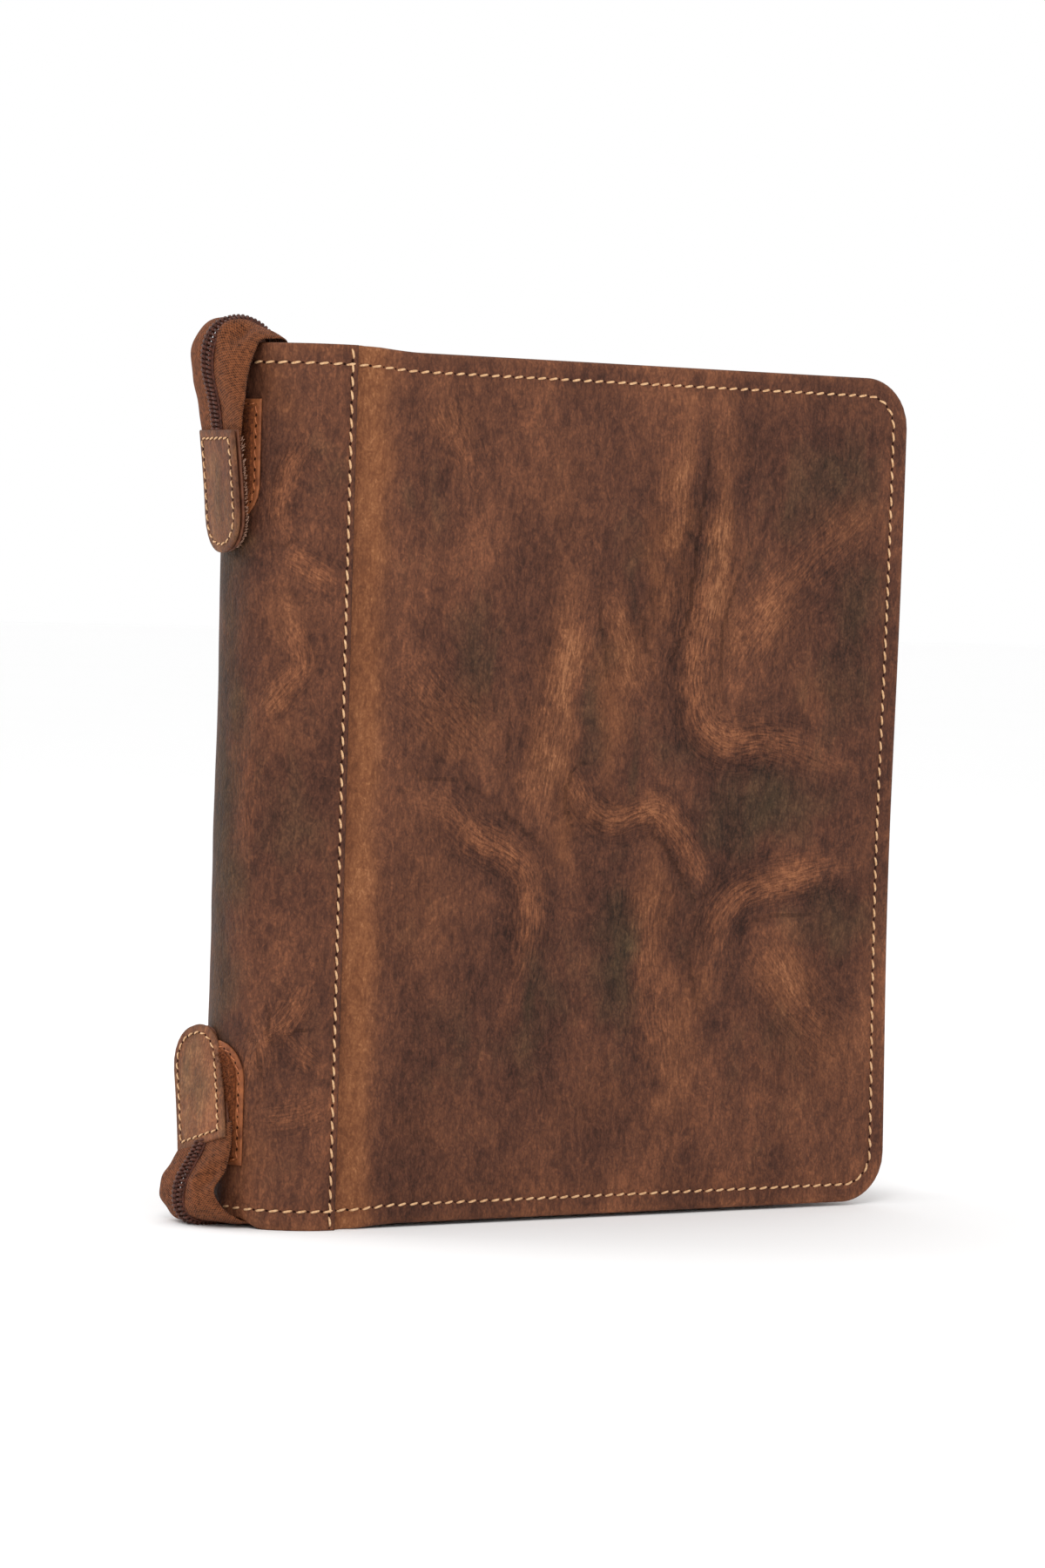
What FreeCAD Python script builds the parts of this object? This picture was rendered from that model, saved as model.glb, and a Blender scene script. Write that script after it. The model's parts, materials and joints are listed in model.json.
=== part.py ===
import FreeCAD, Part
import os
import re
from math import cos, radians, sin

import Sketcher
from FreeCAD import Placement, Rotation, Vector

# A zip-round leather case, closed and standing on its lower edge, with the Bible that it holds.
# X runs from the spine to the fore-edge, Y from the front cover to the back cover, Z is up.

SIZES = {
    # case
    "cover_height": 245, "cover_reach": 211, "case_depth": 49.5, "corner_round": 14.5,
    "leather_wall": 1.6, "board_wall": 2.0, "lining_wall": 0.8, "hinge_step": 2.25,
    "board_inset": 7.2, "board_start": 1.5, "turn_in": 1.8, "turn_in_wall": 0.7,
    "spine_lining_wall": 1.0,
    # pocket that holds each board of the Bible
    "sleeve_wall": 1.0, "sleeve_gap": 0.4, "sleeve_reach": 60, "sleeve_rim": 1.2, "sleeve_round": 3,
    # zip
    "tape_inset": 6, "tape_wall": 0.8, "tape_start": 3, "flange_width": 4.8,
    "chain_gap": 1.2, "chain_side": 2.6, "chain_wall": 2.6,
    "slider_length": 11, "slider_width": 9, "slider_plate": 1.0, "slider_clear": 0.3, "slider_post": 0.5,
    "slider_post_start": 8.25, "slider_round": 3.6,
    "slider_meet": 83, "slider_apart": 1.5, "bail_width": 1.8, "bail_length": 5, "bail_bar": 0.6,
    "bail_room": 1.8, "pull_pin": 0.6, "pull_length": 25, "pull_width": 8, "pull_wall": 1.4,
    "pull_round": 3.2, "pull_arm_gap": 0.5, "pull_arm_over": 1,
    # Bible
    "page_board_wall": 2.4, "page_board_start": 3, "bible_end_room": 11.5, "bible_fore_room": 28,
    "bible_round": 6, "page_square": 2, "page_clear": 0.55,
    "section_count": 6, "section_gap": 0.4, "section_start": 3,
    "bible_spine_ease": 0.15, "bible_spine_wall": 1.2, "bible_spine_end": 5,
    "mull_wall": 2.2, "mull_clear": 1,
    # tails, tabs and pads
    "tail_side": 13, "tail_wall": 0.7, "tail_chain_side": 3, "tail_chain_wall": 2.4,
    "tail_clear": 0.3, "anchor_wall": 3, "anchor_height": 5, "anchor_step": 1.5, "tail_step": 2,
    "upper_loop_rise": 6.2, "upper_tail_room": 2.5, "lower_loop_radius": 8.5, "lower_loop_out": 11,
    "lower_tail_rise": 1.7, "lower_chain_length": 1.2,
    "tab_length": 34, "tab_width": 23, "tab_round": 10, "tab_leather": 1.2, "tab_backing": 0.8,
    "tab_hook": 0.8, "tab_gap": 2.5, "tab_tape_margin": 3,
    "hook_inset": 2.5, "hook_length": 25, "pad_clear": 0.3,
    "upper_tab_drop": 24, "pad_leather": 0.8, "pad_loop": 0.7, "pad_length": 34, "pad_width": 23.5,
    "pad_edge": 2.4, "upper_pad_shift": 8.5, "lower_pad_shift": 5, "notch_clear": 1.2,
    # stitching
    "stitch_inset": 5.4, "stitch_width": 0.6, "stitch_wall": 0.25, "tab_stitch_inset": 2.5,
    "seam_step": 1.9,
}

# Places worked out from the sizes above.
LAYOUT = {
    "half_depth": "case_depth / 2",
    "hinge_x": "half_depth + hinge_step",
    "origin_x": "(cover_reach - lower_loop_out) / 2",
    "leather_y": "half_depth - leather_wall",
    "board_y": "leather_y - board_wall",
    "lining_y": "board_y - lining_wall",
    "page_board_y": "lining_y - page_board_wall",
    "sleeve_y": "page_board_y - sleeve_gap - sleeve_wall",
    "block_y": "sleeve_y - page_clear",
    "section_pitch": "(2 * block_y + section_gap) / section_count",
    "section_wall": "section_pitch - section_gap",
    "tape_y": "chain_gap / 2 + chain_side",
    "tape_top": "cover_height - tape_inset",
    "zip_mid": "tape_top - tape_wall / 2",
    "slider_room": "chain_wall / 2 + slider_clear",
    "bible_height": "cover_height - 2 * bible_end_room",
    "page_board_x": "hinge_x + page_board_start",
    "bible_far": "cover_reach - bible_fore_room",
    "bible_spine_x": "hinge_x - bible_spine_end",
    "spine_inner": "leather_y - spine_lining_wall",
    "bible_spine_radius": "spine_inner - bible_spine_ease",
    "bible_spine_axis": "bible_spine_x + sqrt(bible_spine_radius ^ 2 - lining_y ^ 2)",
    "section_x": "hinge_x - section_start",
    "pad_out": "pad_leather + pad_loop",
    "hook_x": "-(pad_out + pad_clear)",
    "backing_x": "hook_x - tab_hook",
    "tab_tape_x": "backing_x - tab_backing",
    "tab_x": "tab_tape_x - tail_wall",
    "tab_tape_side": "tail_side - tab_tape_margin",
    "tail_x": "tab_tape_x - tail_wall / 2",
    "upper_tab_top": "cover_height - upper_tab_drop",
    "upper_hinge_z": "upper_tab_top + tab_gap",
    "anchor_x": "half_depth - sqrt(spine_inner ^ 2 - tail_side ^ 2) + upper_tail_room",
    "upper_loop_radius": "(anchor_x + tail_wall / 2 - tail_x) / 2",
    "upper_loop_z": "cover_height + upper_loop_rise - tail_wall / 2 - upper_loop_radius",
    "lower_loop_x": "lower_loop_radius - lower_loop_out + tail_chain_wall / 2",
    "lower_loop_z": "lower_tail_rise + lower_loop_radius",
    "lower_rise_length": "lower_loop_radius + (tail_x - lower_loop_x) / sqrt(0.5)",
    "lower_hinge_z": "lower_loop_z + (lower_loop_radius + lower_rise_length) * sqrt(0.5)",
    "lower_tab_low": "lower_hinge_z + tab_gap",
}

doc = FreeCAD.newDocument("zip_case_with_bible")
sheet = doc.addObject("Spreadsheet::Sheet", "Sizes")
for row, (alias, value) in enumerate(SIZES.items(), start=1):
    sheet.set(f"A{row}", alias)
    sheet.set(f"B{row}", str(value))
    sheet.setAlias(f"B{row}", alias)
doc.recompute()
layout = doc.addObject("App::VarSet", "Layout")


def qualified(formula):
    """The formula with each size's name given its owner."""
    def owner(match):
        word = match.group(0)
        if word in SIZES:
            return f"Sizes.{word}"
        return f"Layout.{word}" if word in LAYOUT else word
    return re.sub(r"[a-z_]+", owner, str(formula))


def bind(item, path, formula):
    item.setExpression(path, qualified(formula))


for name, formula in LAYOUT.items():
    layout.addProperty("App::PropertyFloat", name)
    layout.setExpression(name, qualified(formula).replace("Layout.", ""))
doc.recompute()

PIECES = []
SECTIONS = SIZES["section_count"]
# How far a cutting shape passes the face that it cuts.
OVERCUT = 1


def piece(item, label):
    item.Label = label
    PIECES.append(item)
    return item


# ---- plain solids and booleans -------------------------------------------------------------

def block(name, x, y, z, dx, dy, dz):
    item = doc.addObject("Part::Box", name)
    for path, formula in zip(("Length", "Width", "Height"), (dx, dy, dz)):
        bind(item, path, formula)
    for path, formula in zip("xyz", (f"{x} - origin_x", y, z)):
        bind(item, f"Placement.Base.{path}", formula)
    return item


def rod(name, x, y, z, radius, length, direction=Vector(0, 0, 1)):
    item = doc.addObject("Part::Cylinder", name)
    item.Placement = Placement(Vector(), Rotation(Vector(0, 0, 1), direction))
    bind(item, "Radius", radius)
    bind(item, "Height", length)
    for path, formula in zip("xyz", (f"{x} - origin_x", y, z)):
        bind(item, f"Placement.Base.{path}", formula)
    return item


def cut(name, base, tool):
    item = doc.addObject("Part::Cut", name)
    item.Base = base
    item.Tool = tool
    return item


def fuse(name, items):
    item = doc.addObject("Part::MultiFuse", name)
    item.Shapes = items
    item.Refine = True
    return item


def common(name, items):
    item = doc.addObject("Part::MultiCommon", name)
    item.Shapes = items
    return item


def mirrored(name, source):
    item = doc.addObject("Part::Mirroring", name)
    item.Source = source
    item.Normal = Vector(0, 1, 0)
    return item


def shell(name, x, radius, wall, z, height, low_x, far_x):
    """Part of a tube about a vertical axis on the middle plane, between two X planes."""
    outer = rod(f"{name}_outer", x, 0, z, radius, height)
    inner = rod(f"{name}_inner", x, 0, z, f"{radius} - ({wall})", height)
    tube = cut(f"{name}_tube", outer, inner)
    window = block(f"{name}_window", low_x, f"-({radius})", z, f"{far_x} - ({low_x})",
                   f"2 * ({radius})", height)
    return common(name, [tube, window])


# ---- sketched solids -----------------------------------------------------------------------

def new_body(name):
    body = doc.addObject("PartDesign::Body", name)
    bind(body, "Placement.Base.x", "-origin_x")
    return body


def new_sketch(body, name, role, place, turn=0):
    """A sketch on one of the body's planes, with its own origin at the given X, Y and Z."""
    sketch = body.newObject("Sketcher::SketchObject", name)
    plane = next(item for item in body.Origin.OriginFeatures if item.Role == role)
    sketch.AttachmentSupport = [(plane, "")]
    sketch.MapMode = "FlatFace"
    sketch.AttachmentOffset = Placement(Vector(), Rotation(Vector(0, 0, 1), turn))
    x, y, z = place
    local = {"XY_Plane": (x, y, z), "XZ_Plane": (x, z, f"-({y})"), "YZ_Plane": (y, z, x)}[role]
    for path, formula in zip("xyz", local):
        bind(sketch, f"AttachmentOffset.Base.{path}", formula)
    return sketch


# Sizes that sketches are drawn at before their dimensions take over.
START_WIDTH, START_HEIGHT, START_RADIUS = 40.0, 30.0, 5.0
START_RISE, START_RUN, START_HALF_WALL = 8.0, 6.0, 0.5


def rounded_profile(sketch, width, height, radius):
    """A rectangle from the sketch's origin, with its two far corners rounded."""
    w, h, r = START_WIDTH, START_HEIGHT, START_RADIUS
    corners = [Vector(0, 0), Vector(w - r, 0), Vector(w, r), Vector(w, h - r), Vector(w - r, h), Vector(0, h)]
    low, side, high = [Part.LineSegment(corners[i], corners[i + 1]) for i in (0, 2, 4)]
    end = Part.LineSegment(corners[5], corners[0])
    axis = Vector(0, 0, 1)
    low_arc = Part.ArcOfCircle(Part.Circle(Vector(w - r, r), axis, r), radians(270), radians(360))
    high_arc = Part.ArcOfCircle(Part.Circle(Vector(w - r, h - r), axis, r), 0, radians(90))
    sketch.addGeometry([low, low_arc, side, high_arc, high, end], False)
    for first in range(4):
        sketch.addConstraint(Sketcher.Constraint("Tangent", first, 2, first + 1, 1))
    sketch.addConstraint(Sketcher.Constraint("Coincident", 4, 2, 5, 1))
    sketch.addConstraint(Sketcher.Constraint("Coincident", 5, 2, 0, 1))
    sketch.addConstraint(Sketcher.Constraint("Coincident", 0, 1, -1, 1))
    sketch.addConstraint(Sketcher.Constraint("Horizontal", 0))
    sketch.addConstraint(Sketcher.Constraint("Horizontal", 4))
    sketch.addConstraint(Sketcher.Constraint("Vertical", 5))
    sketch.addConstraint(Sketcher.Constraint("Vertical", 2))
    sketch.addConstraint(Sketcher.Constraint("Equal", 1, 3))
    for constraint, formula in (
        (Sketcher.Constraint("Radius", 1, r), radius),
        (Sketcher.Constraint("DistanceX", -1, 1, 2, 1, w), width),
        (Sketcher.Constraint("DistanceY", -1, 1, 4, 2, h), height),
    ):
        bind(sketch, f"Constraints[{sketch.addConstraint(constraint)}]", formula)


def loop_profile(sketch, radius, wall, near_leg, far_leg, sweep):
    """A strip's side view: a leg along +x, an arc turning clockwise from its lowest point, and a leg."""
    rise, run, half = START_RISE, START_RUN, START_HALF_WALL
    end = 270 - sweep
    heading = Vector(sin(radians(end)), -cos(radians(end)))
    axis = Vector(0, 0, 1)
    arcs = []
    ends = []
    for r in (rise + half, rise - half):
        arcs.append(Part.ArcOfCircle(Part.Circle(Vector(), axis, r), radians(end), radians(270)))
        ends.append(Vector(r * cos(radians(end)), r * sin(radians(end))))
    low = [Vector(0, -rise - half), Vector(run, -rise - half),
           Vector(run, -rise + half), Vector(0, -rise + half)]
    far = [ends[1], ends[1] + heading * run, ends[0] + heading * run, ends[0]]
    lines = [Part.LineSegment(line[i], line[i + 1]) for line in (low, far) for i in range(3)]
    sketch.addGeometry(arcs + lines, False)
    for arc in (0, 1):
        sketch.addConstraint(Sketcher.Constraint("Coincident", arc, 3, -1, 1))
    for tangent in ((0, 2, 2, 1), (1, 2, 4, 2), (1, 1, 5, 1), (0, 1, 7, 2)):
        sketch.addConstraint(Sketcher.Constraint("Tangent", *tangent))
    for first in (2, 3, 5, 6):
        sketch.addConstraint(Sketcher.Constraint("Coincident", first, 2, first + 1, 1))
    sketch.addConstraint(Sketcher.Constraint("Horizontal", 2))
    sketch.addConstraint(Sketcher.Constraint("Horizontal", 4))
    sketch.addConstraint(Sketcher.Constraint("Vertical", 3))
    sketch.addConstraint(Sketcher.Constraint("Perpendicular", 5, 6))
    if sweep == 180:
        sketch.addConstraint(Sketcher.Constraint("Horizontal", 5))
        sketch.addConstraint(Sketcher.Constraint("Horizontal", 7))
    else:
        sketch.addConstraint(Sketcher.Constraint("Angle", 5, radians(end - 90)))
        sketch.addConstraint(Sketcher.Constraint("Parallel", 5, 7))
    for constraint, formula in (
        (Sketcher.Constraint("Radius", 0, rise + half), f"{radius} + {wall} / 2"),
        (Sketcher.Constraint("Radius", 1, rise - half), f"{radius} - {wall} / 2"),
        (Sketcher.Constraint("DistanceX", -1, 1, 2, 2, run), near_leg),
        (Sketcher.Constraint("Distance", 5, run), far_leg),
    ):
        bind(sketch, f"Constraints[{sketch.addConstraint(constraint)}]", formula)


def pad(body, sketch, length, feature="Pad"):
    item = body.newObject(f"PartDesign::{feature}", f"{sketch.Name}_{feature.lower()}")
    item.Profile = sketch
    bind(item, "Length", length)
    item.Reversed = feature == "Pocket"
    sketch.Visibility = False
    return item


def plate(name, x, far_x, low, high, y, wall, radius):
    """A sheet beside the front cover: its inner face is y from the middle plane, and it grows outwards."""
    body = new_body(name)
    sketch = new_sketch(body, f"{name}_outline", "XZ_Plane", (x, f"-({y})", low))
    rounded_profile(sketch, f"{far_x} - ({x})", f"{high} - ({low})", radius)
    pad(body, sketch, wall)
    return body


def rim(name, x, far_x, low, high, band, y, wall, radius):
    """A band round the lower edge, fore-edge and upper edge, open at the spine."""
    body = plate(name, x, far_x, low, high, y, wall, radius)
    inside = new_sketch(body, f"{name}_inside", "XZ_Plane",
                        (f"{x} - {OVERCUT}", f"-({y})", f"{low} + {band}"))
    rounded_profile(inside, f"{far_x} - ({x}) - {band} + {OVERCUT}", f"{high} - ({low}) - 2 * ({band})",
                    f"{radius} - ({band})")
    pad(body, inside, wall, "Pocket")
    return body


def edge_band(name, x, inset, band, y, wall):
    """A rim that follows the edge of the cover at an even inset."""
    return rim(name, x, f"cover_reach - ({inset})", f"({inset})", f"cover_height - ({inset})", band, y, wall,
               f"corner_round - ({inset})")


def tongue(name, x, z, length, width, wall, radius, turn):
    """A tab outline in the YZ plane, rounded at the end that points down (-90) or up (90)."""
    body = new_body(name)
    start = f"-({width}) / 2" if turn < 0 else f"({width}) / 2"
    sketch = new_sketch(body, f"{name}_outline", "YZ_Plane", (x, start, z), turn)
    rounded_profile(sketch, length, width, radius)
    pad(body, sketch, wall)
    return body


# ---- covers --------------------------------------------------------------------------------

def front_and_back(label, item):
    piece(item, f"front_{label}")
    piece(mirrored(f"back_{label}", item), f"back_{label}")


def cover_leather():
    sheet_part = plate("cover_sheet", "hinge_x", "cover_reach", "0", "cover_height", "leather_y",
                       "leather_wall", "corner_round")
    bead = rod("cover_bead", "hinge_x", "-(half_depth - leather_wall / 2)", "0", "leather_wall / 2",
               "cover_height")
    fold = edge_band("cover_fold", "hinge_x + board_start", "0", "turn_in", "leather_y - turn_in_wall",
                     "turn_in_wall")
    front_and_back("leather", fuse("cover_leather", [sheet_part, bead, fold]))


def cover_stiffening():
    layers = (("board", "board_y", "board_wall"), ("lining", "lining_y", "lining_wall"))
    for label, y, wall in layers:
        item = plate(f"cover_{label}", "hinge_x + board_start", "cover_reach - board_inset", "board_inset",
                     "cover_height - board_inset", y, wall, "corner_round - board_inset")
        front_and_back(label, item)


def cover_sleeve():
    far_x = "bible_far + sleeve_rim + 2 * sleeve_gap"
    start = f"{far_x} - sleeve_reach"
    low = "bible_end_room - sleeve_rim - 2 * sleeve_gap"
    panel = plate("sleeve_panel", start, far_x, low, f"cover_height - ({low})", "sleeve_y", "sleeve_wall",
                  "sleeve_round")
    edge = rim("sleeve_edge", start, far_x, low, f"cover_height - ({low})", "sleeve_rim",
               "sleeve_y + sleeve_wall", "page_board_wall + sleeve_gap", "sleeve_round")
    front_and_back("sleeve", fuse("cover_sleeve", [panel, edge]))


def page_board():
    item = plate("page_board", "page_board_x", "bible_far", "bible_end_room", "cover_height - bible_end_room",
                 "page_board_y", "page_board_wall", "bible_round")
    front_and_back("bible_board", item)


def zip_halves():
    flange = edge_band("tape_flange", "hinge_x + tape_start", "tape_inset + tape_wall - flange_width",
                       "flange_width", "leather_y - tape_wall", "tape_wall")
    web = edge_band("tape_web", "hinge_x + tape_start", "tape_inset", "tape_wall", "tape_y",
                    "leather_y - tape_y")
    front_and_back("zip_tape", fuse("zip_tape", [flange, web]))
    overhang = "(chain_wall - tape_wall) / 2"
    teeth = edge_band("zip_chain", "hinge_x + tape_start", f"(tape_inset - {overhang})", "chain_wall",
                      "chain_gap / 2", "chain_side")
    front_and_back("zip_chain", teeth)


def cover_thread():
    item = edge_band("cover_thread", "hinge_x + tape_start", "stitch_inset", "stitch_width", "half_depth",
                     "stitch_wall")
    front_and_back("cover_thread", item)


# ---- spine ---------------------------------------------------------------------------------

def spine():
    notch_high = "lower_tail_rise + tail_chain_wall / 2 + notch_clear"
    layers = (("leather", "half_depth", "leather_wall"), ("lining", "leather_y", "spine_lining_wall"))
    for label, radius, wall in layers:
        wrap = shell(f"spine_{label}_wrap", "half_depth", radius, wall, "0", "cover_height", f"-{OVERCUT}",
                     "half_depth")
        notch = block(f"spine_{label}_notch", f"-{OVERCUT}", "-(tail_side + notch_clear)", f"-{OVERCUT}",
                      "half_depth", "2 * (tail_side + notch_clear)", f"{OVERCUT} + {notch_high}")
        piece(cut(f"spine_{label}_notched", wrap, notch), f"spine_{label}")


def spine_thread():
    rings = (("lower", "stitch_inset"), ("upper", "cover_height - stitch_inset - stitch_width"))
    for label, low in rings:
        ring = shell(f"{label}_spine_thread_ring", "half_depth", "half_depth + stitch_wall", "stitch_wall",
                     low, "stitch_width", f"-{OVERCUT}", "half_depth - seam_step - stitch_width")
        piece(ring, f"{label}_spine_thread")
    seam = shell("seam_thread", "half_depth", "half_depth + stitch_wall", "stitch_wall", "0",
                 "cover_height", "half_depth - seam_step - stitch_width", "half_depth - seam_step")
    front_side = block("seam_thread_side", "0", f"-(half_depth + {OVERCUT})", "0", "half_depth", "half_depth",
                       "cover_height")
    front_and_back("seam_thread", common("front_seam_thread", [seam, front_side]))


# ---- Bible ---------------------------------------------------------------------------------

def bible_spine():
    wrap = shell("bible_spine_wrap", "bible_spine_axis", "bible_spine_radius", "bible_spine_wall",
                 "bible_end_room", "bible_height", f"bible_spine_axis - bible_spine_radius - {OVERCUT}",
                 "bible_spine_x")
    piece(wrap, "bible_spine")
    reach = "section_start + bible_spine_end - mull_clear"
    strip = block("mull_strip", "section_x - bible_spine_end", "block_y", "bible_end_room + page_square",
                  reach, "mull_wall", "bible_height - 2 * page_square")
    hollow = rod("mull_limit", "bible_spine_axis", 0, "bible_end_room",
                 "bible_spine_radius - bible_spine_wall", "bible_height")
    piece(common("bible_mull", [strip, hollow]), "bible_mull")


def page_sections():
    low = "bible_end_room + page_square"
    for index in range(SECTIONS):
        y = f"(section_pitch * ({index} - (section_count - 1) / 2))"
        leaves = plate(f"leaves_{index + 1}", "section_x", "bible_far - page_square", low,
                       f"cover_height - ({low})", f"(-{y} - section_wall / 2)", "section_wall",
                       "bible_round - page_square / 2")
        fold = rod(f"fold_{index + 1}", "section_x", y, low, "section_wall / 2",
                   "bible_height - 2 * page_square")
        piece(fuse(f"section_{index + 1}", [leaves, fold]), f"page_section_{index + 1}")


# ---- zip sliders ---------------------------------------------------------------------------

def slider(label, side):
    """A slider on the upper edge, its nose and pull pointing away from the other slider."""
    start = f"(hinge_x + slider_meet + ({side}) * slider_apart / 2)"
    middle = f"({start} + ({side}) * slider_length / 2)"
    top = "zip_mid + slider_room"
    levels = (("top", top), ("bottom", "zip_mid - slider_room - slider_plate"))
    shapes = []
    for level, z in levels:
        body = new_body(f"{label}_{level}_plate")
        y = "-slider_width / 2" if side > 0 else "slider_width / 2"
        outline = new_sketch(body, f"{label}_{level}_outline", "XY_Plane", (start, y, z),
                             0 if side > 0 else 180)
        rounded_profile(outline, "slider_length", "slider_width", "slider_round")
        pad(body, outline, "slider_plate")
        shapes.append(body)
    shapes.append(block(f"{label}_post", f"({start} + ({side}) * slider_post_start - 2 * slider_post)",
                        "-slider_post / 2", "zip_mid - slider_room", "4 * slider_post", "slider_post",
                        "2 * slider_room"))
    for end in (-1, 1):
        shapes.append(block(f"{label}_bail_{end + 1}",
                            f"({middle} + {end} * (bail_length - bail_bar) / 2 - bail_bar / 2)",
                            "-bail_width / 2", f"{top} + slider_plate", "bail_bar", "bail_width",
                            "bail_room + bail_bar"))
    shapes.append(block(f"{label}_bail_bar", f"({middle} - bail_length / 2)", "-bail_width / 2",
                        f"{top} + slider_plate + bail_room", "bail_length", "bail_width", "bail_bar"))
    piece(fuse(f"{label}_slider_body", shapes), f"{label}_slider")
    pull(label, side, middle, f"({top} + slider_plate + bail_room / 2)")


def pull(label, side, middle, axis_z):
    arm_y = "(bail_width / 2 + pull_arm_gap)"
    pin = rod(f"{label}_pin", middle, f"-{arm_y} - pull_pin", axis_z, "pull_pin",
              f"2 * ({arm_y} + pull_pin)", Vector(0, 1, 0))
    arms = []
    arm_length = "(slider_length / 2 + pull_arm_over)"
    for hand in (-1, 1):
        y = f"-{arm_y} - 2 * pull_pin" if hand < 0 else arm_y
        x = f"({middle} - pull_pin)" if side > 0 else f"({middle} - {arm_length} + pull_pin)"
        arms.append(block(f"{label}_arm_{hand + 1}", x, y, f"{axis_z} - pull_pin", arm_length, "2 * pull_pin",
                          "2 * pull_pin"))
    body = new_body(f"{label}_strap")
    strap_x = f"({middle} + ({side}) * ({arm_length} - 2 * pull_pin))"
    y = "-pull_width / 2" if side > 0 else "pull_width / 2"
    outline = new_sketch(body, f"{label}_strap_outline", "XY_Plane",
                         (strap_x, y, f"{axis_z} - pull_wall / 2"), 0 if side > 0 else 180)
    rounded_profile(outline, "pull_length", "pull_width", "pull_round")
    pad(body, outline, "pull_wall")
    piece(fuse(f"{label}_pull_tab", [pin, body] + arms), f"{label}_pull")


# ---- tails, tabs and pads ------------------------------------------------------------------

def loop_strip(name, place, width, wall, radius, near_leg, far_leg, sweep, turn):
    """A strip that bends in the XZ plane; place is its loop's centre, at the side away from the front."""
    body = new_body(name)
    sketch = new_sketch(body, f"{name}_profile", "XZ_Plane", place, turn)
    loop_profile(sketch, radius, wall, near_leg, far_leg, sweep)
    pad(body, sketch, width)
    return body


def tail(label, centre, radius, near_leg, far_leg, chain_far_leg, chain_near_leg, sweep, turn):
    x, z = centre
    strip = "tail_side - tail_chain_side"
    tapes = (("front", "-tail_chain_side"), ("back", "tail_side"))
    for side, y in tapes:
        item = loop_strip(f"{label}_tail_{side}", (x, y, z), strip, "tail_wall", radius, near_leg, far_leg,
                          sweep, turn)
        piece(item, f"{label}_tail_tape_{side}")
    chain = loop_strip(f"{label}_tail_chain", (x, "tail_chain_side", z), "2 * tail_chain_side",
                       "tail_chain_wall", radius, chain_near_leg, chain_far_leg, sweep, turn)
    piece(chain, f"{label}_tail_chain")


def anchor(label, x, z, height):
    """A patch across the inside of the spine that holds the end of a tail."""
    slab = block(f"{label}_anchor_slab", f"({x} - anchor_wall)", "-spine_inner", z, "anchor_wall",
                 "2 * spine_inner", height)
    hollow = rod(f"{label}_anchor_limit", "half_depth", 0, z, "spine_inner", height)
    piece(common(f"{label}_anchor_patch", [slab, hollow]), f"{label}_anchor")


def tab(label, hinge_z, end_z, turn):
    """The stack of a tab, from the outer leather in to the hook strip; end_z is its square end."""
    way = "-" if turn < 0 else "+"
    outer = tongue(f"{label}_tab_outer", "tab_x - tab_leather", end_z, "tab_length", "tab_width",
                   "tab_leather", "tab_round", turn)
    piece(outer, f"{label}_tab_leather")
    inner = tongue(f"{label}_tab_inner", "backing_x - tab_backing", end_z, "tab_length", "tab_width",
                   "tab_backing", "tab_round", turn)
    piece(inner, f"{label}_tab_backing")
    hook = tongue(f"{label}_tab_hook_strip", "backing_x", f"{end_z} {way} hook_inset",
                  "hook_length", "tab_width - 2 * hook_inset", "tab_hook",
                  "tab_round - hook_inset", turn)
    piece(hook, f"{label}_tab_hook")
    stub = tongue(f"{label}_tab_stub", "tab_x", hinge_z, "tab_length / 2", "2 * tab_tape_side", "tail_wall",
                  "tab_round - hook_inset", turn)
    bead = rod(f"{label}_tab_bead", "tail_x", "-tab_tape_side", hinge_z, "tail_wall / 2",
               "2 * tab_tape_side", Vector(0, 1, 0))
    piece(fuse(f"{label}_tab_tape_strip", [stub, bead]), f"{label}_tab_tape")
    thread = tongue(f"{label}_tab_stitch", "tab_x - tab_leather - stitch_wall",
                    f"{end_z} {way} tab_stitch_inset", "tab_length - 2 * tab_stitch_inset",
                    "tab_width - 2 * tab_stitch_inset", "stitch_wall", "tab_round - tab_stitch_inset", turn)
    hole = tongue(f"{label}_tab_stitch_hole", "tab_x - tab_leather - stitch_wall",
                  f"{end_z} {way} (tab_stitch_inset + stitch_width)",
                  "tab_length - 2 * (tab_stitch_inset + stitch_width)",
                  "tab_width - 2 * (tab_stitch_inset + stitch_width)", "stitch_wall",
                  "tab_round - tab_stitch_inset - stitch_width", turn)
    piece(cut(f"{label}_tab_stitches", thread, hole), f"{label}_tab_thread")


def fastening_pad(label, square_z, turn):
    """Leather and loop pile wrapped on the spine behind a tab."""
    layers = (("leather", "half_depth + pad_leather", "pad_leather", "0"),
              ("loop", "half_depth + pad_out", "pad_loop", "pad_edge"))
    for layer, radius, wall, inset in layers:
        way = "-" if turn < 0 else "+"
        outline = tongue(f"{label}_pad_{layer}_outline", f"-pad_out - {OVERCUT}", f"{square_z} {way} {inset}",
                         f"pad_length - 2 * {inset}", f"pad_width - 2 * {inset}", "half_depth",
                         f"tab_round - {inset} / 2", turn)
        wrap = shell(f"{label}_pad_{layer}_wrap", "half_depth", radius, wall, "0", "cover_height",
                     f"-pad_out - {OVERCUT}", "half_depth")
        piece(common(f"{label}_pad_{layer}_piece", [wrap, outline]), f"{label}_pad_{layer}")


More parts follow.
